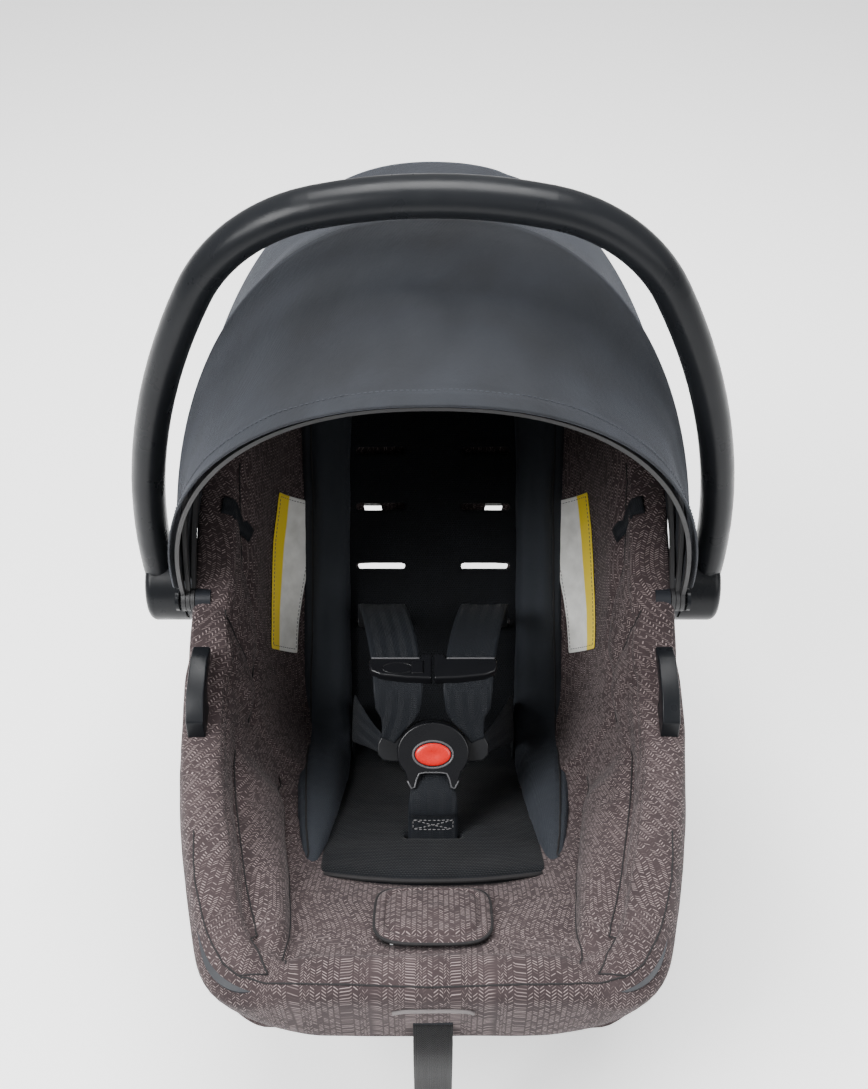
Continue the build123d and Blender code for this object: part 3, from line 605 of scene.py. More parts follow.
def cover_shape():
    """The cover's outer face as a grid of points, with which points are cloth and the rim's outward plan normals.
    """
    pads = tree_of("seat_pad_back", "seat_pad_leg")
    skirt = tree_of("seat_cover_skirt")
    angles = np.arange(COVER_COLUMNS) * math.tau / COVER_COLUMNS
    rims, inner = [], np.zeros((COVER_ROWS, COVER_COLUMNS, 3))
    known = np.ones((COVER_ROWS, COVER_COLUMNS), bool)
    for j, angle in enumerate(angles):
        out = Vector((math.cos(angle), math.sin(angle), 0))
        top = rim_height(pads, out)
        rim = pads.ray_cast(Vector((EYE.x, EYE.y, top - 0.0012)), out)[0]
        rims.append(rim)
        reach = math.hypot(rim.x - EYE.x, rim.y - EYE.y)
        highest = math.atan2(rim.z - EYE.z, reach)
        for i in range(COVER_ROWS):
            share = (i + 0.6) / (COVER_ROWS - 0.4)
            lift = -math.pi / 2 + (highest + math.pi / 2) * share
            ray = out * math.cos(lift) + Vector((0, 0, math.sin(lift)))
            hit = pads.ray_cast(EYE, ray)[0]
            known[i, j] = hit is not None and (hit - EYE).length < 0.42
            inner[i, j] = hit if known[i, j] else (0, 0, 0)
    inner = fill_gaps(inner, known)
    rims = np.array(rims)
    for _ in range(3):
        rims = (np.roll(rims, 1, 0) + rims * 2 + np.roll(rims, -1, 0)) / 4
    outward = closed_normals(rims[:, :2])
    front = 1 - smoothstep(SKIRT_END - 0.004, SKIRT_END + 0.004, rims[:, 1])
    rows = []
    for out_mm, up_mm in ROLL:
        row = rims.copy()
        row[:, :2] += outward * out_mm * MM
        row[:, 2] += 0.001 + up_mm * MM * (1 - 0.35 * (1 - front))
        rows.append(row)
    for k, drop in enumerate(FRONT_DROPS):
        row = rims.copy()
        row[:, :2] += outward * 28.2 * MM
        back_drop = max(drop, -8.5) if k < 2 else -9.5
        tuck = 28.2 if k < 2 else 28.2 - min(k - 1, 3) * 1.6
        for j in range(COVER_COLUMNS):
            if front[j] > 0.5:
                z = rims[j, 2] + drop * MM
                normal = Vector((*outward[j], 0))
                start = Vector((*rims[j, :2], z)) + normal * 0.12
                hit = skirt.ray_cast(start, -normal)[0]
                if hit:
                    row[j] = hit
                row[j, 2] = z
            else:
                row[j, :2] = rims[j, :2] + outward[j] * tuck * MM
                row[j, 2] = rims[j, 2] + back_drop * MM
        rows.append(row)
    grid = np.concatenate([inner, np.array(rows)])
    known = np.concatenate([known, np.ones((len(rows), COVER_COLUMNS), bool)])
    return grid, known, outward


def cover_relief(grid):
    """How far the padding stands out of the CAD surface at each point, in metres."""
    x, y = np.abs(grid[..., 0]), grid[..., 1]
    row = np.arange(grid.shape[0])[:, None]
    inside = row < COVER_ROWS
    run = run_along(grid, 0)
    below = run[COVER_ROWS] - run          # distance down the wall from the rim's inner edge
    # leg-side rolls, between the seam under the rim and a seam along the seat pan
    taper = smoothstep(-0.283, -0.25, y) * (1 - smoothstep(-0.118, -0.085, y))
    roll_outer, roll_inner = seam_x("leg", y), seam_x("pan", y)
    t = np.clip((roll_outer - x) / (roll_outer - roll_inner), 0, 1)
    roll = np.sin(np.pi * t) ** 0.6 * 0.0105 * taper
    seam = np.exp(-((x - roll_inner) / 0.0030) ** 2) * 0.0022 * taper
    # wings beside the head and chest, softly quilted below the rim seam
    wing = smoothstep(-0.085, -0.04, y) * np.exp(-((below - 0.045) / 0.028) ** 2) * 0.0045
    rim_seam = np.exp(-((below - 0.007) / 0.0021) ** 2) * 0.0026
    soft = folds(grid, 0.055, 1) * 0.0011 + folds(grid, 0.02, 2) * 0.00035
    crease_zone = np.exp(-((y + 0.060) / 0.05) ** 2) * np.exp(-((below - 0.035) / 0.035) ** 2)
    crease = folds(grid, 0.016, 3, (1, 0.5, 1)) * 0.0024 * crease_zone
    relief = np.where(inside, roll - seam + wing - rim_seam + crease, 0) + soft
    half = np.stack([x, y, grid[..., 2]], 2)
    pucker = folds(grid, 0.009, 4) * 0.0009
    for name, line in SEAMS.items():
        away = distance_to_line(half, np.array(line, float) * MM)
        depth = 0.35 if name in SHALLOW_SEAMS else 1.0
        press = 0.0034 * np.exp(-(away / 0.0034) ** 2) + (0.0026 + pucker) * np.exp(-(away / 0.0115) ** 2)
        relief -= depth * press
    return relief


def distance_to_line(points, line):
    """How far each point is from a line of points."""
    best = np.full(points.shape[:-1], 1.0)
    for a, b in zip(line, line[1:]):
        share = np.clip(((points - a) @ (b - a)) / ((b - a) @ (b - a)), 0, 1)
        best = np.minimum(best, np.linalg.norm(points - a - share[..., None] * (b - a), axis=-1))
    return best


def cover_seams(cover):
    """A thread along the bottom of each seam, and the piping round the adjuster strap's exit."""
    for name, line in SEAMS.items():
        fine = [Vector(p) for p in resampled(np.array(line, float) * MM, 0.004)]
        for side, end in ((1, "left"), (-1, "right")):
            spots = nearest_on(cover, [Vector((side * p.x, p.y, p.z)) for p in fine], 0.0001)
            rope(f"seam_{name}_{end}", spots, 0.00062, DARK_THREAD, sides=6)
    half = 0.0255
    arc = [Vector((x, -0.330, 0.2285 - 0.0035 * abs(x / half) ** 4)) for x in np.linspace(-half, half, 31)]
    rope("strap_exit_piping", nearest_on(cover, arc, 0.0008), 0.0013, PIPING)


def resampled(line, pitch):
    """Points at an even pitch along a line of points."""
    run = np.concatenate([[0], np.cumsum(np.linalg.norm(np.diff(line, axis=0), axis=1))])
    at = np.linspace(0, run[-1], max(2, int(run[-1] / pitch)))
    return np.stack([np.interp(at, run, line[:, k]) for k in range(3)], 1)


def cover_weave(grid, outward):
    """(across, along) of the cloth at each grid point, in millimetres."""
    x, y, z = grid[..., 0], grid[..., 1], grid[..., 2]
    middle_y, middle_z = [], []
    for j in (COVER_COLUMNS // 4, 3 * COVER_COLUMNS // 4):
        middle_y += list(grid[:COVER_ROWS, j, 1])
        middle_z += list(grid[:COVER_ROWS, j, 2])
    order = np.argsort(middle_y)
    floor_z = np.interp(y, np.array(middle_y)[order], np.array(middle_z)[order])
    side = np.where(x < 0, -1.0, 1.0)
    across = side * (np.abs(x) + np.maximum(z - floor_z, 0))
    along = y.copy()
    edge = COVER_ROWS - 1
    run = run_along(grid, 0)
    past = run[edge + 1:] - run[edge]
    across[edge + 1:] = across[edge] + past * outward[None, :, 0]
    along[edge + 1:] = along[edge] + past * outward[None, :, 1]
    return np.stack([across.ravel(), along.ravel()], 1) / MM


def seat_cover():
    grid, known, outward = cover_shape()
    weave = cover_weave(grid, outward)
    relief = cover_relief(grid)
    grid = grid + grid_normals(grid) * relief[..., None]
    rows, columns, _ = grid.shape
    faces = grid_faces(rows, columns, wrap=True)
    cloth = known.ravel()
    faces = [f for f in faces if all(cloth[k] for k in f)]
    points = list(grid.reshape(-1, 3)) + [grid[0].mean(0)]
    pole = rows * columns
    faces += [(pole, (k + 1) % columns, k) for k in range(columns)]
    obj = new_object("seat_cover", points, faces, COVER)
    set_weave(obj, np.concatenate([weave, [[0, EYE.y / MM]]]))
    remove_loose(obj)
    add_modifier(obj, "SOLIDIFY", thickness=COVER_THICKNESS, offset=-1.0)
    add_modifier(obj, "SUBSURF", levels=1, render_levels=1)
    finish_piece(obj, "root", "seat_cover", "seat_pad_back", "seat_pad_leg", "seat_cover_skirt")
    return obj


def remove_loose(obj):
    work = bmesh.new()
    work.from_mesh(obj.data)
    bmesh.ops.delete(work, geom=[v for v in work.verts if not v.link_faces], context="VERTS")
    work.to_mesh(obj.data)
    work.free()


# ---------------------------------------------------------------- insert: a mat between two rolls
SEAT_Z0, SEAT_SLOPE = 0.083, -0.5       # seat surface: height at y = 0, rise per unit y
BACK_Y0, BACK_Z0, BACK_SLOPE = 0.124, 0.202, 1.083
SLOT_X, SLOT_WIDTH, SLOT_HEIGHT = 0.047, 0.044, 0.0055
SLOT_LEVELS = (0.090, 0.124, 0.160, 0.194)
CROTCH_Y = -0.126
MAT_FRONT, MAT_TOP, MAT_HALF = -0.176, 0.252, 0.084
HIP_RADIUS = 0.045


def seat_line(y):
    return SEAT_Z0 + SEAT_SLOPE * y


def back_line(y):
    return BACK_Z0 + BACK_SLOPE * (y - BACK_Y0)


HIP_Y = (SEAT_Z0 - BACK_Z0 + BACK_SLOPE * BACK_Y0) / (BACK_SLOPE - SEAT_SLOPE)


def lying_line(front, top, radius=HIP_RADIUS):
    """Side view of the lying surface. Returns a function of distance along it from the hip, which gives
    (y, z) and the normal (y, z), and the distances of its front and top ends."""
    pitch_a, pitch_b = math.atan(SEAT_SLOPE), math.atan(BACK_SLOPE)
    bend = pitch_b - pitch_a
    cut = radius * math.tan(bend / 2)
    hip = np.array([HIP_Y, seat_line(HIP_Y)])
    start = hip - cut * np.array([math.cos(pitch_a), math.sin(pitch_a)])
    arc = radius * bend

    def at(distance):
        d = distance + arc / 2
        if d < 0:
            angle, base = pitch_a, start + d * np.array([math.cos(pitch_a), math.sin(pitch_a)])
        elif d < arc:
            angle = pitch_a + d / radius
            centre = start + radius * np.array([-math.sin(pitch_a), math.cos(pitch_a)])
            base = centre + radius * np.array([math.sin(angle), -math.cos(angle)])
        else:
            angle = pitch_b
            end = hip + cut * np.array([math.cos(pitch_b), math.sin(pitch_b)])
            base = end + (d - arc) * np.array([math.cos(pitch_b), math.sin(pitch_b)])
        return base, np.array([-math.sin(angle), math.cos(angle)])

    front_end = -((HIP_Y - front) / math.cos(pitch_a) - cut) - arc / 2
    top_end = (top - HIP_Y) / math.cos(pitch_b) - cut + arc / 2
    return at, front_end, top_end


def spread(low, high, step, marks):
    """Evenly spaced values that pass exactly through each mark."""
    stops = sorted({low, high, *[m for m in marks if low < m < high]})
    values = [low]
    for a, b in zip(stops, stops[1:]):
        count = max(1, round((b - a) / step))
        values += [a + (b - a) * k / count for k in range(1, count + 1)]
    return np.array(values)


def insert_mat():
    at, front_end, top_end = lying_line(MAT_FRONT, MAT_TOP)

    def distance_at(y):
        """Distance along the line at which it reaches y."""
        low, high = front_end - 0.02, top_end + 0.02
        for _ in range(30):
            middle = (low + high) / 2
            low, high = (middle, high) if at(middle)[0][0] < y else (low, middle)
        return low

    slots = [(distance_at(y), SLOT_X, SLOT_WIDTH) for y in SLOT_LEVELS]
    crotch = distance_at(CROTCH_Y)
    edges = [d + k * SLOT_HEIGHT / 2 for d, _, _ in slots for k in (-1, 1)]
    edges += [crotch - SLOT_HEIGHT / 2, crotch + SLOT_HEIGHT / 2]
    run = spread(front_end, top_end, 0.0045, edges)
    sides = [SLOT_X - SLOT_WIDTH / 2, SLOT_X + SLOT_WIDTH / 2, SLOT_WIDTH / 2]
    across = spread(-MAT_HALF, MAT_HALF, 0.0045, [k * s for s in sides for k in (-1, 1)])
    points, weave = [], []
    for d in run:
        for x in across:
            t = x / MAT_HALF
            bow = 0.015 * (1 - t ** 2)
            toward_front = max(0.0, 1 - (d - front_end) / 0.05)
            place = d - bow * toward_front
            (y, z), (ny, nz) = at(place)
            rounding = min(1.0, max(0.0, (d - front_end) / 0.010)) ** 0.5
            lift = 0.0022 * (1 - t ** 4) - 0.002 * (1 - rounding) + 0.0042 * toward_front
            points.append((x, y + ny * lift, z + nz * lift))
            weave.append((x / MM, d / MM))
    grid = np.array(points).reshape(len(run), len(across), 3)
    relief = folds(grid, 0.045, 11) * 0.0012 + folds(grid, 0.018, 12) * 0.0004
    grid[..., 2] += relief
    faces = []
    for i, j in np.ndindex(len(run) - 1, len(across) - 1):
        d, x = (run[i] + run[i + 1]) / 2, abs(across[j] + across[j + 1]) / 2
        in_slot = any(abs(d - s) < SLOT_HEIGHT / 2 and abs(x - cx) < w / 2 for s, cx, w in slots)
        in_slot = in_slot or (abs(d - crotch) < SLOT_HEIGHT / 2 and x < SLOT_WIDTH / 2)
        if not in_slot:
            k = i * len(across) + j
            faces.append((k, k + 1, k + 1 + len(across), k + len(across)))
    obj = new_object("insert_mat", grid.reshape(-1, 3), faces, KNIT)
    set_weave(obj, weave)
    add_modifier(obj, "SOLIDIFY", thickness=0.0075, offset=-1.0)
    add_modifier(obj, "SUBSURF", levels=1, render_levels=1)
    finish_piece(obj, "root", "insert_knit", "insert_seat", "insert_back")
    edge = [Vector(p) + Vector((0, -0.0008, 0.0004)) for p, x in zip(grid[0], across) if abs(x) < 0.083]
    rope("insert_piping", edge, 0.0016, DARK_THREAD)


def rope(name, line, radius, material, body="root", sides=8):
    """A round bead, such as piping or a thread, along a line of points."""
    points = []
    line = [Vector(p) for p in line]
    side = None
    for i, here in enumerate(line):
        tangent = (line[min(i + 1, len(line) - 1)] - line[max(i - 1, 0)]).normalized()
        guess = side or (Vector((0, 0, 1)) if abs(tangent.z) < 0.9 else Vector((1, 0, 0)))
        side = (guess - tangent * guess.dot(tangent)).normalized()
        up = tangent.cross(side)
        for k in range(sides):
            angle = math.tau * k / sides
            points.append(here + (side * math.cos(angle) + up * math.sin(angle)) * radius)
    obj = new_object(name, points, tube_faces(len(line), sides), material)
    fix_normals(obj)
    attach(obj, body)
    return obj


ROLL_TOP, ROLL_FRONT = 0.246, -0.178
ROLL_X = 0.0940


def roll_section(share):
    """Half width, height and middle x of a bolster at a share of its length from the foot end."""
    taper = math.sin(min(1.0, share / 0.36) * math.pi / 2) ** 0.85
    close = math.sqrt(max(0.0, 1 - max(0.0, (share - 0.95) / 0.05) ** 2))
    half = 0.0015 + 0.0222 * taper * max(close, 0.1)
    height = 0.004 + 0.0185 * taper * max(close, 0.15)
    middle = ROLL_X - 0.006 * (1 - taper)
    return half, height, middle


def lean_on_wall(across):
    """How far the outer half of a roll is raised, where it lies against the wall beside it."""
    return 0.75 * max(0.0, across)


def bolster(side):
    """One long roll of the insert, pointed at the foot end, with a seam along it."""
    name = side_name(side)
    at, front_end, top_end = lying_line(ROLL_FRONT, ROLL_TOP, 0.055)
    rows, ring = 110, 28
    points, weave = [], []
    for i in range(rows):
        share = i / (rows - 1)
        half, height, middle = roll_section(share)
        (y, z), (ny, nz) = at(front_end + (top_end - front_end) * share)
        for k in range(ring):
            angle = math.tau * k / ring
            c, s = math.cos(angle), math.sin(angle)
            across = half * math.copysign(abs(c) ** 0.85, c)
            lift = (height * s if s > 0 else 0.006 * s) + lean_on_wall(across)
            points.append((side * (middle + across), y + ny * lift, z + nz * lift))
            weave.append((angle * 12, share * (top_end - front_end) / MM))
    obj = new_object(f"insert_roll_{name}", points, tube_faces(rows, ring), SOFT_KNIT)
    fix_normals(obj)
    obj = inflate(obj, 0.0042, 3.0, 0.006)
    dent_along_roll(obj, side, at, front_end, top_end)
    weave_by_place(obj)
    finish_piece(obj, "root", "insert_knit", f"insert_bolster_{name}")
    seam = roll_seam(side, at, front_end, top_end, 0.03, 0.94, 90, above=0.0003)
    on_surface = nearest_on(obj, seam, 0.0002)
    rope(f"insert_roll_seam_{name}", on_surface, 0.00075, DARK_THREAD)


def roll_seam(side, at, front_end, top_end, first, span, count, above=0.0):
    """The line of a roll's sewn seam, over a span of its length that starts at the share first."""
    line = []
    for i in range(count):
        share = first + span * i / (count - 1)
        half, height, middle = roll_section(share)
        (y, z), (ny, nz) = at(front_end + (top_end - front_end) * share)
        lift = height * 0.80 + above + lean_on_wall(half * 0.52)
        line.append((side * (middle + half * 0.52), y + ny * lift, z + nz * lift))
    return line


def dent_along_roll(obj, side, at, front_end, top_end):
    """Presses the sewn seam and small cross creases into a roll."""
    line = np.array(roll_seam(side, at, front_end, top_end, 0.02, 0.96, 160))
    co = vertex_values(obj).astype(float)
    normal = vertex_values(obj, "normal")
    away = np.array([np.min(np.linalg.norm(line - p, axis=1)) for p in co])
    press = np.exp(-(away / 0.0035) ** 2) * 0.0016
    crease = folds(co, 0.009, 21 + side, (0.5, 1, 1)) * 0.0007 * np.exp(-((co[:, 1] - 0.01) / 0.09) ** 2)
    co += normal * (crease - press)[:, None]
    obj.data.vertices.foreach_set("co", co.astype(np.float32).ravel())
    obj.data.update()


def inflate(obj, voxel, pressure, cap, frames=20):
    """Plumps a closed shape: remesh, then a short cloth simulation under pressure that moves no point
    more than cap."""
    scene = bpy.context.scene
    material = obj.data.materials[0]
    add_modifier(obj, "REMESH", mode="VOXEL", voxel_size=voxel)
    apply_modifiers(obj)
    before = vertex_values(obj)
    cloth = obj.modifiers.new("cloth", "CLOTH")
    settings = cloth.settings
    settings.quality = 5
    settings.mass = 0.3
    settings.tension_stiffness = settings.compression_stiffness = 12
    settings.bending_stiffness = 0.6
    settings.use_pressure = True
    settings.uniform_pressure_force = pressure
    settings.effector_weights.gravity = 0
    scene.frame_start, scene.frame_end = 1, frames
    for frame_number in range(1, frames + 1):
        scene.frame_set(frame_number)
    apply_modifiers(obj)
    scene.frame_set(1)
    after = vertex_values(obj)
    move = after - before
    length = np.linalg.norm(move, axis=1, keepdims=True)
    after = before + move * np.minimum(1, cap / np.maximum(length, 1e-9))
    obj.data.vertices.foreach_set("co", after.ravel())
    add_modifier(obj, "SUBSURF", levels=1, render_levels=1)
    apply_modifiers(obj)
    obj.data.materials.clear()
    obj.data.materials.append(material)
    obj.data.polygons.foreach_set("use_smooth", [True] * len(obj.data.polygons))
    return obj


def weave_by_place(obj, along=(0, 0.7, 0.7)):
    """Gives a piece with no grid of its own weave coordinates from where its points lie."""
    co = vertex_values(obj)
    old = obj.data.attributes.get("weave")
    if old:
        obj.data.attributes.remove(old)
    set_weave(obj, np.stack([co[:, 0] + 0.5 * co[:, 1], co @ np.array(along)], 1) / MM)


def surface_tree(obj):
    """A search tree over an object's finished surface."""
    bpy.context.view_layer.update()
    graph = bpy.context.evaluated_depsgraph_get()
    mesh = bpy.data.meshes.new_from_object(obj.evaluated_get(graph), depsgraph=graph)
    points = [v.co.copy() for v in mesh.vertices]
    tree = BVHTree.FromPolygons(points, [tuple(p.vertices) for p in mesh.polygons])
    bpy.data.meshes.remove(mesh)
    return tree


def nearest_on(obj, points, lift):
    """Each point moved onto an object's surface, and lifted off it a little."""
    tree = surface_tree(obj)
    placed = []
    for point in points:
        spot, normal, _, _ = tree.find_nearest(Vector(point))
        placed.append(spot + normal * lift)
    return placed


# ---------------------------------------------------------------- canopy
PIVOT = Vector(next(j["pos_m"] for j in frame["joints"] if j["name"] == "canopy_fold"))
MID_LEAN, REAR_LEAN = 12.0, 36.0        # the bows, degrees back from upright
FOOT_ANGLE = 5.0
CANOPY_COLUMNS = 121
CANOPY_THICKNESS = 0.0016
HEM_BAND = 0.013


def canopy_ray(arch, lean):
    """Direction from the pivot, arch degrees up from +X in the plane that leans back by lean degrees."""
    a, b = math.radians(arch), math.radians(lean)
    return Vector((math.cos(a), math.sin(a) * math.sin(b), math.sin(a) * math.cos(b)))


def edge_lean(node, outside, step):
    """The lean at which a canopy cloth ends, searched from outside it, over the top."""
    tree, lean = tree_of(node), outside
    while tree.ray_cast(PIVOT, canopy_ray(90, lean))[0] is None:
        lean += step
    return lean + step


def canopy_panel(name, nodes, lean_a, lean_b, rows, sag, front_edge=False):
    """Cloth from the arch at lean_a to the arch at lean_b."""
    tree = tree_of("canopy_cloth_front", "canopy_cloth_mid", "canopy_cloth_rear")
    arches = np.linspace(FOOT_ANGLE, 180 - FOOT_ANGLE, CANOPY_COLUMNS)
    grid = np.zeros((rows, CANOPY_COLUMNS, 3))
    shares = np.linspace(0, 1, rows)
    for i, share in enumerate(shares):
        lean = lean_a + (lean_b - lean_a) * share
        for j, arch in enumerate(arches):
            ray = canopy_ray(arch, lean)
            hit = tree.ray_cast(PIVOT + ray * 0.6, -ray)[0]
            grid[i, j] = hit if hit else (np.nan,) * 3
    for i in range(rows):
        good = ~np.isnan(grid[i, :, 0])
        for axis in range(3):
            grid[i, ~good, axis] = np.interp(arches[~good], arches[good], grid[i, good, axis])
    centre = np.array(PIVOT)
    out = grid - centre
    out /= np.linalg.norm(out, axis=2, keepdims=True)
    t, a = np.meshgrid(shares, np.radians(arches), indexing="ij")
    high = np.sin(a)
    hollow = -sag * np.sin(np.pi * t) ** 1.2 * (0.35 + 0.65 * high)
    flat = np.stack([a * 0.35, t * 0.05 + lean_a * 0.01, t * 0], 2)
    pull = folds(flat, 0.05, 31) * np.sin(np.pi * t) * 0.0022
    foot = np.exp(-np.minimum(a, np.pi - a) / 0.45)
    gather = np.sin(t * 21 + 3 * folds(grid, 0.06, 32)) * foot * np.sin(np.pi * t) * 0.0016
    soft = folds(grid, 0.035, 33) * 0.0007 * np.sin(np.pi * t) ** 0.5
    near_middle = np.exp(-((a - np.pi / 2) / 0.16) ** 2) * np.sin(np.pi * t)
    crease = np.sin((a - np.pi / 2) * 34 + 5 * folds(grid, 0.05, 34)) * near_middle * 0.0011
    relief = hollow + pull + gather + soft + crease
    run = run_along(grid, 0)
    if front_edge:
        from_edge = run[-1] - run
        doubled = np.where(from_edge < HEM_BAND, 0.0007, 0.0)
        relief += doubled + np.exp(-((from_edge - HEM_BAND) / 0.0016) ** 2) * -0.0009
    grid = grid + out * relief[..., None]
    width = run_along(grid, 1)
    obj = new_object(name, grid.reshape(-1, 3), grid_faces(rows, CANOPY_COLUMNS), CANOPY)
    obj.data.materials.append(LINING)
    set_weave(obj, np.stack([width.ravel(), run.ravel()], 1) / MM)
    layer = obj.data.attributes.new("share", "FLOAT", "POINT")
    layer.data.foreach_set("value", t.astype(np.float32).ravel())
    turn_outwards(obj)
    add_modifier(obj, "SUBSURF", levels=1, render_levels=1)
    add_modifier(obj, "SOLIDIFY", thickness=CANOPY_THICKNESS, offset=-1.0, material_offset=1)
    apply_modifiers(obj)
    sewn_to(obj)
    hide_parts(*nodes)
    if front_edge:
        hem = int(np.argmin(np.abs((run[-1] - run)[:, CANOPY_COLUMNS // 2] - HEM_BAND)))
        line = [Vector(p) + Vector(o) * 0.0004 for p, o in zip(grid[hem], out[hem])]
        stitches("canopy_hem_stitch", line, 0.00034, CANOPY_THREAD, "canopy_front",
                 0.0026, 0.0012)


def sewn_to(obj):
    """Bakes a canopy piece's placement into its mesh."""
    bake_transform(obj)


def turn_outwards(obj):
    """Faces of an open sheet turned away from the canopy's pivot."""
    work = bmesh.new()
    work.from_mesh(obj.data)
    bmesh.ops.recalc_face_normals(work, faces=work.faces)
    work.faces.ensure_lookup_table()
    middle = work.faces[len(work.faces) // 2]
    if middle.normal.dot(middle.calc_center_median() - PIVOT) < 0:
        bmesh.ops.reverse_faces(work, faces=work.faces)
    work.to_mesh(obj.data)
    work.free()


def canopy():
    front_lean = edge_lean("canopy_cloth_front", -30.0, 0.05)
    hem_lean = edge_lean("canopy_cloth_rear", 90.0, -0.05)
    canopy_panel("canopy_front_panel", ["canopy_cloth_front"],
                 MID_LEAN, front_lean, 34, 0.0055, front_edge=True)
    canopy_panel("canopy_middle_panel", ["canopy_cloth_mid"],
                 REAR_LEAN, MID_LEAN, 28, 0.006)
    canopy_panel("canopy_rear_panel", ["canopy_cloth_rear"],
                 hem_lean, REAR_LEAN, 40, 0.005)


# ---------------------------------------------------------------- harness
BUCKLE_TILT = math.radians(49.0)
WEBBING = 0.038
WEBBING_THICKNESS = 0.0017


def on_seat(y, out=0.0):
    """A point (0, y, z) of the seat surface, moved out of it."""
    pitch = math.atan(SEAT_SLOPE)
    return Vector((0, y - math.sin(pitch) * out, seat_line(y) + math.cos(pitch) * out))


def on_back(y, out=0.0):
    pitch = math.atan(BACK_SLOPE)
    return Vector((0, y - math.sin(pitch) * out, back_line(y) + math.cos(pitch) * out))


def on_buckle(x, along, out=0.0):
    """A point on the buckle: across it, along its length towards the chest, and out of its face."""
    origin = Vector((0, -0.084, 0.198))
    up = Vector((0, math.cos(BUCKLE_TILT), math.sin(BUCKLE_TILT)))
    face = Vector((0, -math.sin(BUCKLE_TILT), math.cos(BUCKLE_TILT)))
    return origin + Vector((x, 0, 0)) + up * along + face * out


def spaced(values, count):
    """Values at even shares of a run, from values at even shares."""
    return np.interp(np.linspace(0, 1, count), np.linspace(0, 1, len(values)), values)


def mirrored(points, side):
    return [Vector((side * p[0], p[1], p[2])) for p in points]


def shoulder_strap(side):
    name = side_name(side)
    tail = [on_back(0.090, -0.056), on_back(0.090, -0.020), on_back(0.090, 0.003), on_back(0.086, 0.011)]
    route = [Vector((SLOT_X, p.y, p.z)) for p in tail]
    route += [Vector(p) for p in ((0.0445, 0.058, 0.222), (0.040, 0.030, 0.240), (0.0345, 0.000, 0.2490),
                                  (0.030, -0.024, 0.2475), (0.0275, -0.042, 0.2432),
                                  (0.0265, -0.057, 0.2385))]
    route += [on_buckle(0.0270, 0.031, 0.004), on_buckle(0.0300, 0.020, 0.0015),
              on_buckle(0.0345, 0.009, 0.0005)]
    line = spline_points(mirrored(route, side))
    share = np.linspace(0, 1, len(line))
    gathered = np.interp(share, [0.76, 0.86, 0.93, 1.0], [WEBBING, 0.034, 0.022, 0.011])
    width = np.where(share < 0.76, WEBBING, gathered)
    strap = ribbon(f"shoulder_strap_{name}_web", line, (1, 0, 0), width, WEBBING_THICKNESS, STRAP,
                   cup=0.0012, columns=13)
    finish_piece(strap, "root", "webbing", f"shoulder_strap_{name}")


def lap_strap(side):
    name = side_name(side)
    start = Vector((0.070, 0.014, 0.116))
    end = on_buckle(0.040, 0.006, -0.002)
    route = [Vector((0.070, 0.014, 0.040)), Vector((0.070, 0.014, 0.092)),
             start + Vector((-0.001, -0.002, 0.012)), start.lerp(end, 0.35) + Vector((0.006, 0, 0.014)),
             start.lerp(end, 0.7) + Vector((0.006, 0, 0.010)), end]
    line = spline_points(mirrored(route, side))
    across = []
    for k in range(len(line)):
        tilt = BUCKLE_TILT * min(1.0, max(0.0, k / (len(line) - 1) * 1.6 - 0.5))
        across.append((0, math.cos(tilt), math.sin(tilt)))
    width = spaced([WEBBING, WEBBING, WEBBING, WEBBING, WEBBING * 0.8, 0.016], len(line))
    strap = ribbon(f"lap_strap_{name}_web", line, across, list(width), WEBBING_THICKNESS, STRAP, columns=13)
    finish_piece(strap, "root", "webbing", f"lap_strap_{name}")


def crotch_strap():
    route = [on_seat(CROTCH_Y, -0.046), on_seat(CROTCH_Y, -0.016), on_seat(CROTCH_Y, 0.006),
             on_seat(CROTCH_Y - 0.001, 0.019), on_buckle(0, -0.046, 0.0065), on_buckle(0, -0.034, 0.0085),
             on_buckle(0, -0.024, 0.006), on_buckle(0, -0.016, 0.001)]
    line = spline_points(route)
    widths = spaced([WEBBING] * 4 + [WEBBING, WEBBING * 0.98, 0.034, 0.029], len(line))
    strap = ribbon("crotch_strap_web", line, (1, 0, 0), list(widths), WEBBING_THICKNESS, STRAP,
                   cup=0.0010, columns=13)
    finish_piece(strap, "root", "webbing", "crotch_strap")
    low, high, half = on_seat(CROTCH_Y, 0.0085), on_seat(CROTCH_Y - 0.0008, 0.0165), 0.0155
    corners = [Vector((s * half, p.y, p.z)) for p in (low, high) for s in (-1, 1)]
    pairs = [(0, 1), (2, 3), (0, 3), (1, 2), (0, 2), (1, 3)]
    for k, (a, b) in enumerate(pairs):
        above = [corners[a].lerp(corners[b], i / 10) + Vector((0, -0.003, 0.001)) for i in range(11)]
        line = nearest_on(strap, above, 0.0002)
        stitches(f"crotch_stitch_{k}", line, 0.00042, PALE_THREAD)


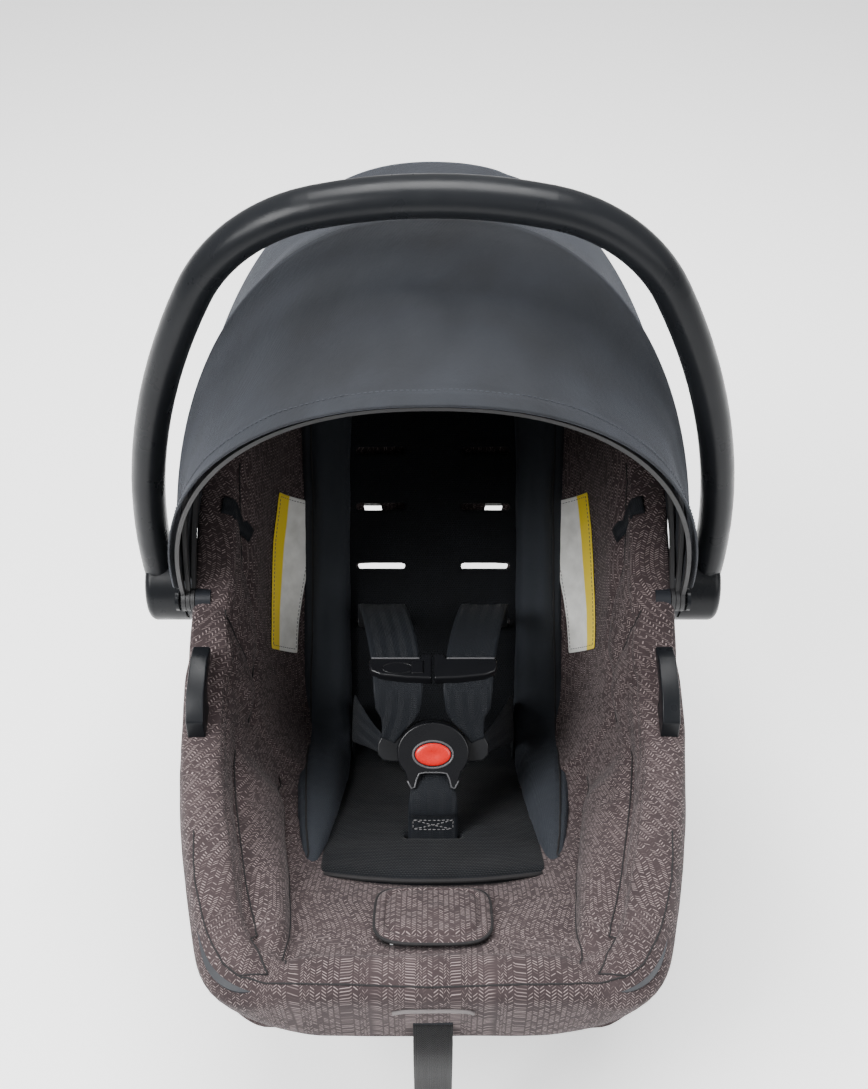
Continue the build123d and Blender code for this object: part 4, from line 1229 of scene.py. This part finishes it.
def stitches(name, line, radius, material, body="root", length=0.0024, gap=0.0011):
    """A row of short thread stitches along a line of points, as one piece."""
    line = [Vector(p) for p in line]
    runs = [0.0]
    for a, b in zip(line, line[1:]):
        runs.append(runs[-1] + (b - a).length)

    def at(distance):
        k = max(0, min(len(line) - 2, int(np.searchsorted(runs, distance)) - 1))
        t = (distance - runs[k]) / max(runs[k + 1] - runs[k], 1e-9)
        return line[k].lerp(line[k + 1], t), (line[k + 1] - line[k]).normalized()

    points, faces = [], []
    place = gap
    sides = 5
    while place + length < runs[-1]:
        base = len(points)
        for step, swell in ((0, 0.35), (0.2, 1), (0.8, 1), (1, 0.35)):
            here, tangent = at(place + length * step)
            guess = Vector((0, 0, 1)) if abs(tangent.z) < 0.9 else Vector((1, 0, 0))
            side = (guess - tangent * guess.dot(tangent)).normalized()
            up = tangent.cross(side)
            for k in range(sides):
                angle = math.tau * k / sides
                points.append(here + (side * math.cos(angle) + up * math.sin(angle)) * radius * swell)
        faces += [tuple(base + i for i in f) for f in tube_faces(4, sides)]
        place += length + gap
    obj = new_object(name, points, faces, material)
    fix_normals(obj)
    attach(obj, body)
    return obj


def plate(name, outline, place, low, high, bevel, material, segments=3):
    """A moulded plate: an outline of (across, along) points between two heights, with rounded edges.
    place maps (across, along, out) to the frame."""
    count = len(outline)
    points = [place(x, y, low) for x, y in outline] + [place(x, y, high) for x, y in outline]
    faces = [tuple(range(count)), tuple(range(count, 2 * count))]
    faces += [(k, (k + 1) % count, count + (k + 1) % count, count + k) for k in range(count)]
    obj = new_object(name, points, faces, material)
    fix_normals(obj)
    add_modifier(obj, "BEVEL", width=bevel, segments=segments, limit_method="ANGLE",
                 angle_limit=math.radians(50))
    add_modifier(obj, "WEIGHTED_NORMAL")
    return obj


def arc_points(cx, cy, rx, ry, start, stop, count):
    angles = [math.radians(start + (stop - start) * k / (count - 1)) for k in range(count)]
    return [(cx + rx * math.cos(a), cy + ry * math.sin(a)) for a in angles]


def buckle():
    """Front shell, button ring and back of the buckle: a round shield with two prongs beside its strap."""
    half = 0.0275
    right = arc_points(0, 0.001, half, 0.0235, 90, -38, 22)
    right += [(0.0195, -0.0205), (0.0165, -0.0265), (0.0140, -0.0255), (0.0125, -0.0190), (0.0105, -0.0150),
              (0.0060, -0.0142)]
    outline = right + [(-x, y) for x, y in reversed(right[1:])]
    front = plate("buckle_front_shell", outline, on_buckle, 0.0012, 0.0104, 0.0026, BUCKLE, 4)
    finish_piece(front, "root", "buckle_plastic", "buckle_front")
    wide = [(x * 1.02, y * 1.02 - 0.0005) for x, y in outline]
    back = plate("buckle_back_shell", wide, on_buckle, -0.0095, 0.0008, 0.0022, BUCKLE, 3)
    finish_piece(back, "root", "buckle_plastic", "buckle_back")
    # Painted highlights: the pale ropes round the button and along the strap opening stand for light caught on
    # these edges of the black buckle.
    ring = [on_buckle(0.0152 * math.cos(a), 0.0103 * math.sin(a), 0.0106)
            for a in np.linspace(0, math.tau, 61)]
    rope("buckle_button_ring_highlight", ring, 0.00085, EDGE_HIGHLIGHT_PLASTIC)
    lip = [on_buckle(x, y + 0.0004, 0.0098) for x, y in right[-6:][::-1]]
    lip = [on_buckle(-x, y + 0.0004, 0.0098) for x, y in right[-6:]] + lip
    rope("buckle_strap_lip_highlight", lip, 0.0007, EDGE_HIGHLIGHT_PLASTIC)


def red_button():
    """The oval press button, gently domed, with a shallow dish."""
    rings, around = 14, 48
    points = []
    for i in range(rings):
        r = 1 - i / rings
        for k in range(around):
            a = math.tau * k / around
            dome = 0.0016 * (1 - r ** 6) - 0.0012 * math.exp(-(r / 0.45) ** 2)
            points.append(on_buckle(0.0140 * r * math.cos(a), 0.0090 * r * math.sin(a), 0.0108 + dome))
    points.append(on_buckle(0, 0, 0.0112))
    skirt = []
    for k in range(around):
        a = math.tau * k / around
        skirt.append(on_buckle(0.0140 * math.cos(a), 0.0090 * math.sin(a), 0.004))
    faces = grid_faces(rings, around, wrap=True)
    top = rings * around
    inmost = top - around
    faces += [(inmost + k, inmost + (k + 1) % around, top) for k in range(around)]
    base = len(points)
    points += skirt
    faces += [(base + k, base + (k + 1) % around, (k + 1) % around, k) for k in range(around)]
    faces.append(tuple(base + k for k in reversed(range(around))))
    obj = new_object("buckle_press_button", points, faces, RED)
    fix_normals(obj)
    add_modifier(obj, "SUBSURF", levels=1, render_levels=1)
    finish_piece(obj, "buckle_button", "red_button", "buckle_button")


def tongue(side):
    name = side_name(side)
    shape = [(0.010, -0.006), (0.030, -0.0075), (0.0385, -0.0065), (0.0425, -0.002),
             (0.0425, 0.006), (0.0395, 0.0115), (0.030, 0.014), (0.010, 0.012)]
    outline = [(side * x, y) for x, y in shape]
    piece = plate(f"tongue_{name}", outline, on_buckle, -0.0026, 0.0000, 0.0009, DARK_STEEL, 2)
    finish_piece(piece, "root", "steel", f"buckle_tongue_{name}")


def on_clip(x, along, out=0.0):
    """A point on the chest clip: across it, along the straps, and out of its face."""
    tilt = math.radians(6.0)
    origin = Vector((0, -0.042, 0.2435))
    up = Vector((0, math.cos(tilt), math.sin(tilt)))
    face = Vector((0, -math.sin(tilt), math.cos(tilt)))
    return origin + Vector((x, 0, 0)) + up * along + face * out


def chest_clip():
    """Two slim halves, the lock block in the middle and a moulded oval on one half."""
    for side, name, node in ((1, "left", "chest_clip_left"), (-1, "right", "chest_clip_right")):
        shape = [(0.0008, -0.0100), (0.020, -0.0092), (0.040, -0.0065), (0.0475, -0.0030), (0.0495, 0.0030),
                 (0.0490, 0.0085), (0.0455, 0.0100), (0.0095, 0.0100), (0.0090, 0.0135), (0.0008, 0.0140)]
        outline = [(side * x, y) for x, y in shape]
        piece = plate(f"{node}_shell", outline, on_clip, -0.0035, 0.0052, 0.0019, BUCKLE, 3)
        finish_piece(piece, "root", "buckle_plastic", node)
        # Painted highlight: a pale rope along each half's top edge stands for light on that edge of the black
        # clip.
        edge = [on_clip(side * x, 0.0088, 0.0053) for x in np.linspace(0.0105, 0.0475, 20)]
        rope(f"chest_clip_edge_highlight_{name}", edge, 0.00065, EDGE_HIGHLIGHT_PLASTIC)
    oval = [on_clip(-0.0270 + 0.0118 * math.cos(a), -0.0005 + 0.0050 * math.sin(a), 0.0052)
            for a in np.linspace(0, math.tau, 49)]
    rope("chest_clip_oval", oval, 0.00055, BUCKLE)
    tab = [(-0.0165, -0.0062), (-0.0075, -0.0062), (-0.0075, 0.0062), (-0.0165, 0.0062)]
    press = plate("chest_clip_press", tab, on_clip, 0.0040, 0.0066, 0.0010, BUCKLE, 3)
    finish_piece(press, "chest_clip_tab", "buckle_plastic", "chest_clip_tab")


# Painted highlight: pale grey plastic laid along edges of the black buckle and chest clip, standing for light
# caught on those edges.
EDGE_HIGHLIGHT_PLASTIC = moulded_plastic("painted_edge_highlight", (0.085, 0.085, 0.09), 0.3, 0.01)
DARK_STEEL = moulded_plastic("black_oxide_steel", (0.009, 0.0095, 0.011), 0.3, 0.01, worn=0.02)


# ---------------------------------------------------------------- small soft pieces
def flap():
    """Padded flap over the adjuster's button, with a sewn border groove and a dark rope round its edge as painted
    shadow.
    """
    rings, around = 30, 96
    low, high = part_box("adjuster_flap")
    middle_y = (low.y + high.y) / 2
    half_x, half_y = 0.0395, 0.0340
    pitch = math.atan(SEAT_SLOPE)
    base = on_seat(middle_y - 0.0055, 0.0060)
    points, weave = [], []
    for layer in (1, -1):
        for i in range(rings):
            r = 1 - i / rings
            for k in range(around):
                a = math.tau * k / around
                c, s = math.cos(a), math.sin(a)
                power = 5.0 if s > 0 else 3.6
                reach = (abs(c) ** power + abs(s) ** power) ** (-1 / power)
                x, y = half_x * r * reach * c, half_y * r * reach * s
                if layer > 0:
                    lift = 0.0052 * (1 - r ** 5) ** 0.6 - 0.0030 * math.exp(-((r - 0.80) / 0.035) ** 2)
                    lift += 0.0012 * math.sin(x * 160 + 1.0) * math.cos(y * 190) * (1 - r)
                else:
                    lift = -0.0018 * (1 - r ** 4)
                points.append((x, base.y + y * math.cos(pitch) - math.sin(pitch) * lift,
                               base.z + y * math.sin(pitch) + math.cos(pitch) * lift))
                weave.append((x / MM, y / MM))
    faces = grid_faces(rings, around, wrap=True)
    half = rings * around
    faces += [tuple(half + i for i in reversed(f)) for f in grid_faces(rings, around, wrap=True)]
    faces += [(k, (k + 1) % around, half + (k + 1) % around, half + k) for k in range(around)]
    faces.append(tuple((rings - 1) * around + k for k in range(around)))
    faces.append(tuple(half + (rings - 1) * around + k for k in reversed(range(around))))
    obj = new_object("adjuster_flap_pad", points, faces, COVER)
    fix_normals(obj)
    set_weave(obj, weave)
    add_modifier(obj, "SUBSURF", levels=1, render_levels=1)
    finish_piece(obj, "adjuster_flap", "seat_cover", "adjuster_flap")
    # Painted shadow: a dark rope round the flap's edge stands for the shade along its border, which is the same
    # cloth as the flap.
    edge = [Vector(points[k]).lerp(Vector(points[half + k]), 0.5) for k in list(range(around)) + [0]]
    rope("adjuster_flap_shadow_rope", edge, 0.0012, DARK_THREAD, "adjuster_flap")


def label(side, tree):
    """Plain care label on the wing of the cover."""
    name = side_name(side)
    low, high = Vector((0, 0.036, 0.184)), Vector((0, 0.142, 0.266))
    along = (high - low).normalized()
    across = Vector((0, -along.z, along.y))
    rows, columns = 40, 17
    points, weave = [], []
    for i in range(rows):
        for j in range(columns):
            t, w = i / (rows - 1), (j / (columns - 1) - 0.5) * 0.042
            spot = low.lerp(high, t) + across * w
            hit = tree.ray_cast(Vector((0.02 * side, spot.y, spot.z)), Vector((side, 0, 0)))[0]
            points.append(hit - Vector((side, 0, 0)) * 0.0013)
            weave.append((w / MM * -1, t * (high - low).length / MM))
    obj = new_object(f"care_label_{name}_tape", points, grid_faces(rows, columns), LABEL)
    set_weave(obj, [(-u, v) for u, v in weave])
    add_modifier(obj, "SOLIDIFY", thickness=0.0006, offset=0)
    add_modifier(obj, "SUBSURF", levels=1, render_levels=1)
    finish_piece(obj, "root", "label", f"care_label_{name}")
    grid = np.array(points).reshape(rows, columns, 3)
    inset = np.array([side * -0.0007, 0, 0])
    border = [*grid[1:-1, 1], *grid[-2, 1:-1], *grid[1:-1, -2][::-1], *grid[1, 1:-1][::-1]]
    stitches(f"care_label_{name}_stitch", [Vector(q + inset) for q in border], 0.0003, PALE_THREAD)


def pad_loops(tree):
    """Elastic loops of the cover over the rim."""
    low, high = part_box("pad_loops")
    y = (low.y + high.y) / 2
    for side, name in ((1, "left"), (-1, "right")):
        line = []
        for x in np.linspace(0.1465, 0.1660, 9):
            hit = tree.ray_cast(Vector((side * x, y, 0.5)), Vector((0, 0, -1)))[0]
            line.append(hit + Vector((0, 0, 0.0016)))
        loop = ribbon(f"pad_loop_{name}", line, (0, 1, 0.45), 0.015, 0.0016, STRAP, columns=9)
        finish_piece(loop, "root", "webbing", "pad_loops")


# ---------------------------------------------------------------- hard parts from the frame
def soften(names, width):
    """Small rounded edges on moulded CAD parts."""
    for name in names:
        node = NODES[name]
        add_modifier(node, "WELD", merge_threshold=0.00002)
        add_modifier(node, "BEVEL", width=width, segments=2, limit_method="ANGLE",
                     angle_limit=math.radians(35))
        add_modifier(node, "WEIGHTED_NORMAL")


camera()
studio()
dress_cad_nodes()
adjuster_tail()
cover = seat_cover()
cover_tree = surface_tree(cover)
cover_seams(cover)
insert_mat()
for side in (1, -1):
    bolster(side)
    shoulder_strap(side)
    lap_strap(side)
    tongue(side)
    label(side, cover_tree)
crotch_strap()
buckle()
red_button()
chest_clip()
flap()
pad_loops(cover_tree)
canopy()
soften(["belt_guide_left", "belt_guide_right", "release_lever", "adjuster_button", "adjuster_housing"],
       0.0012)
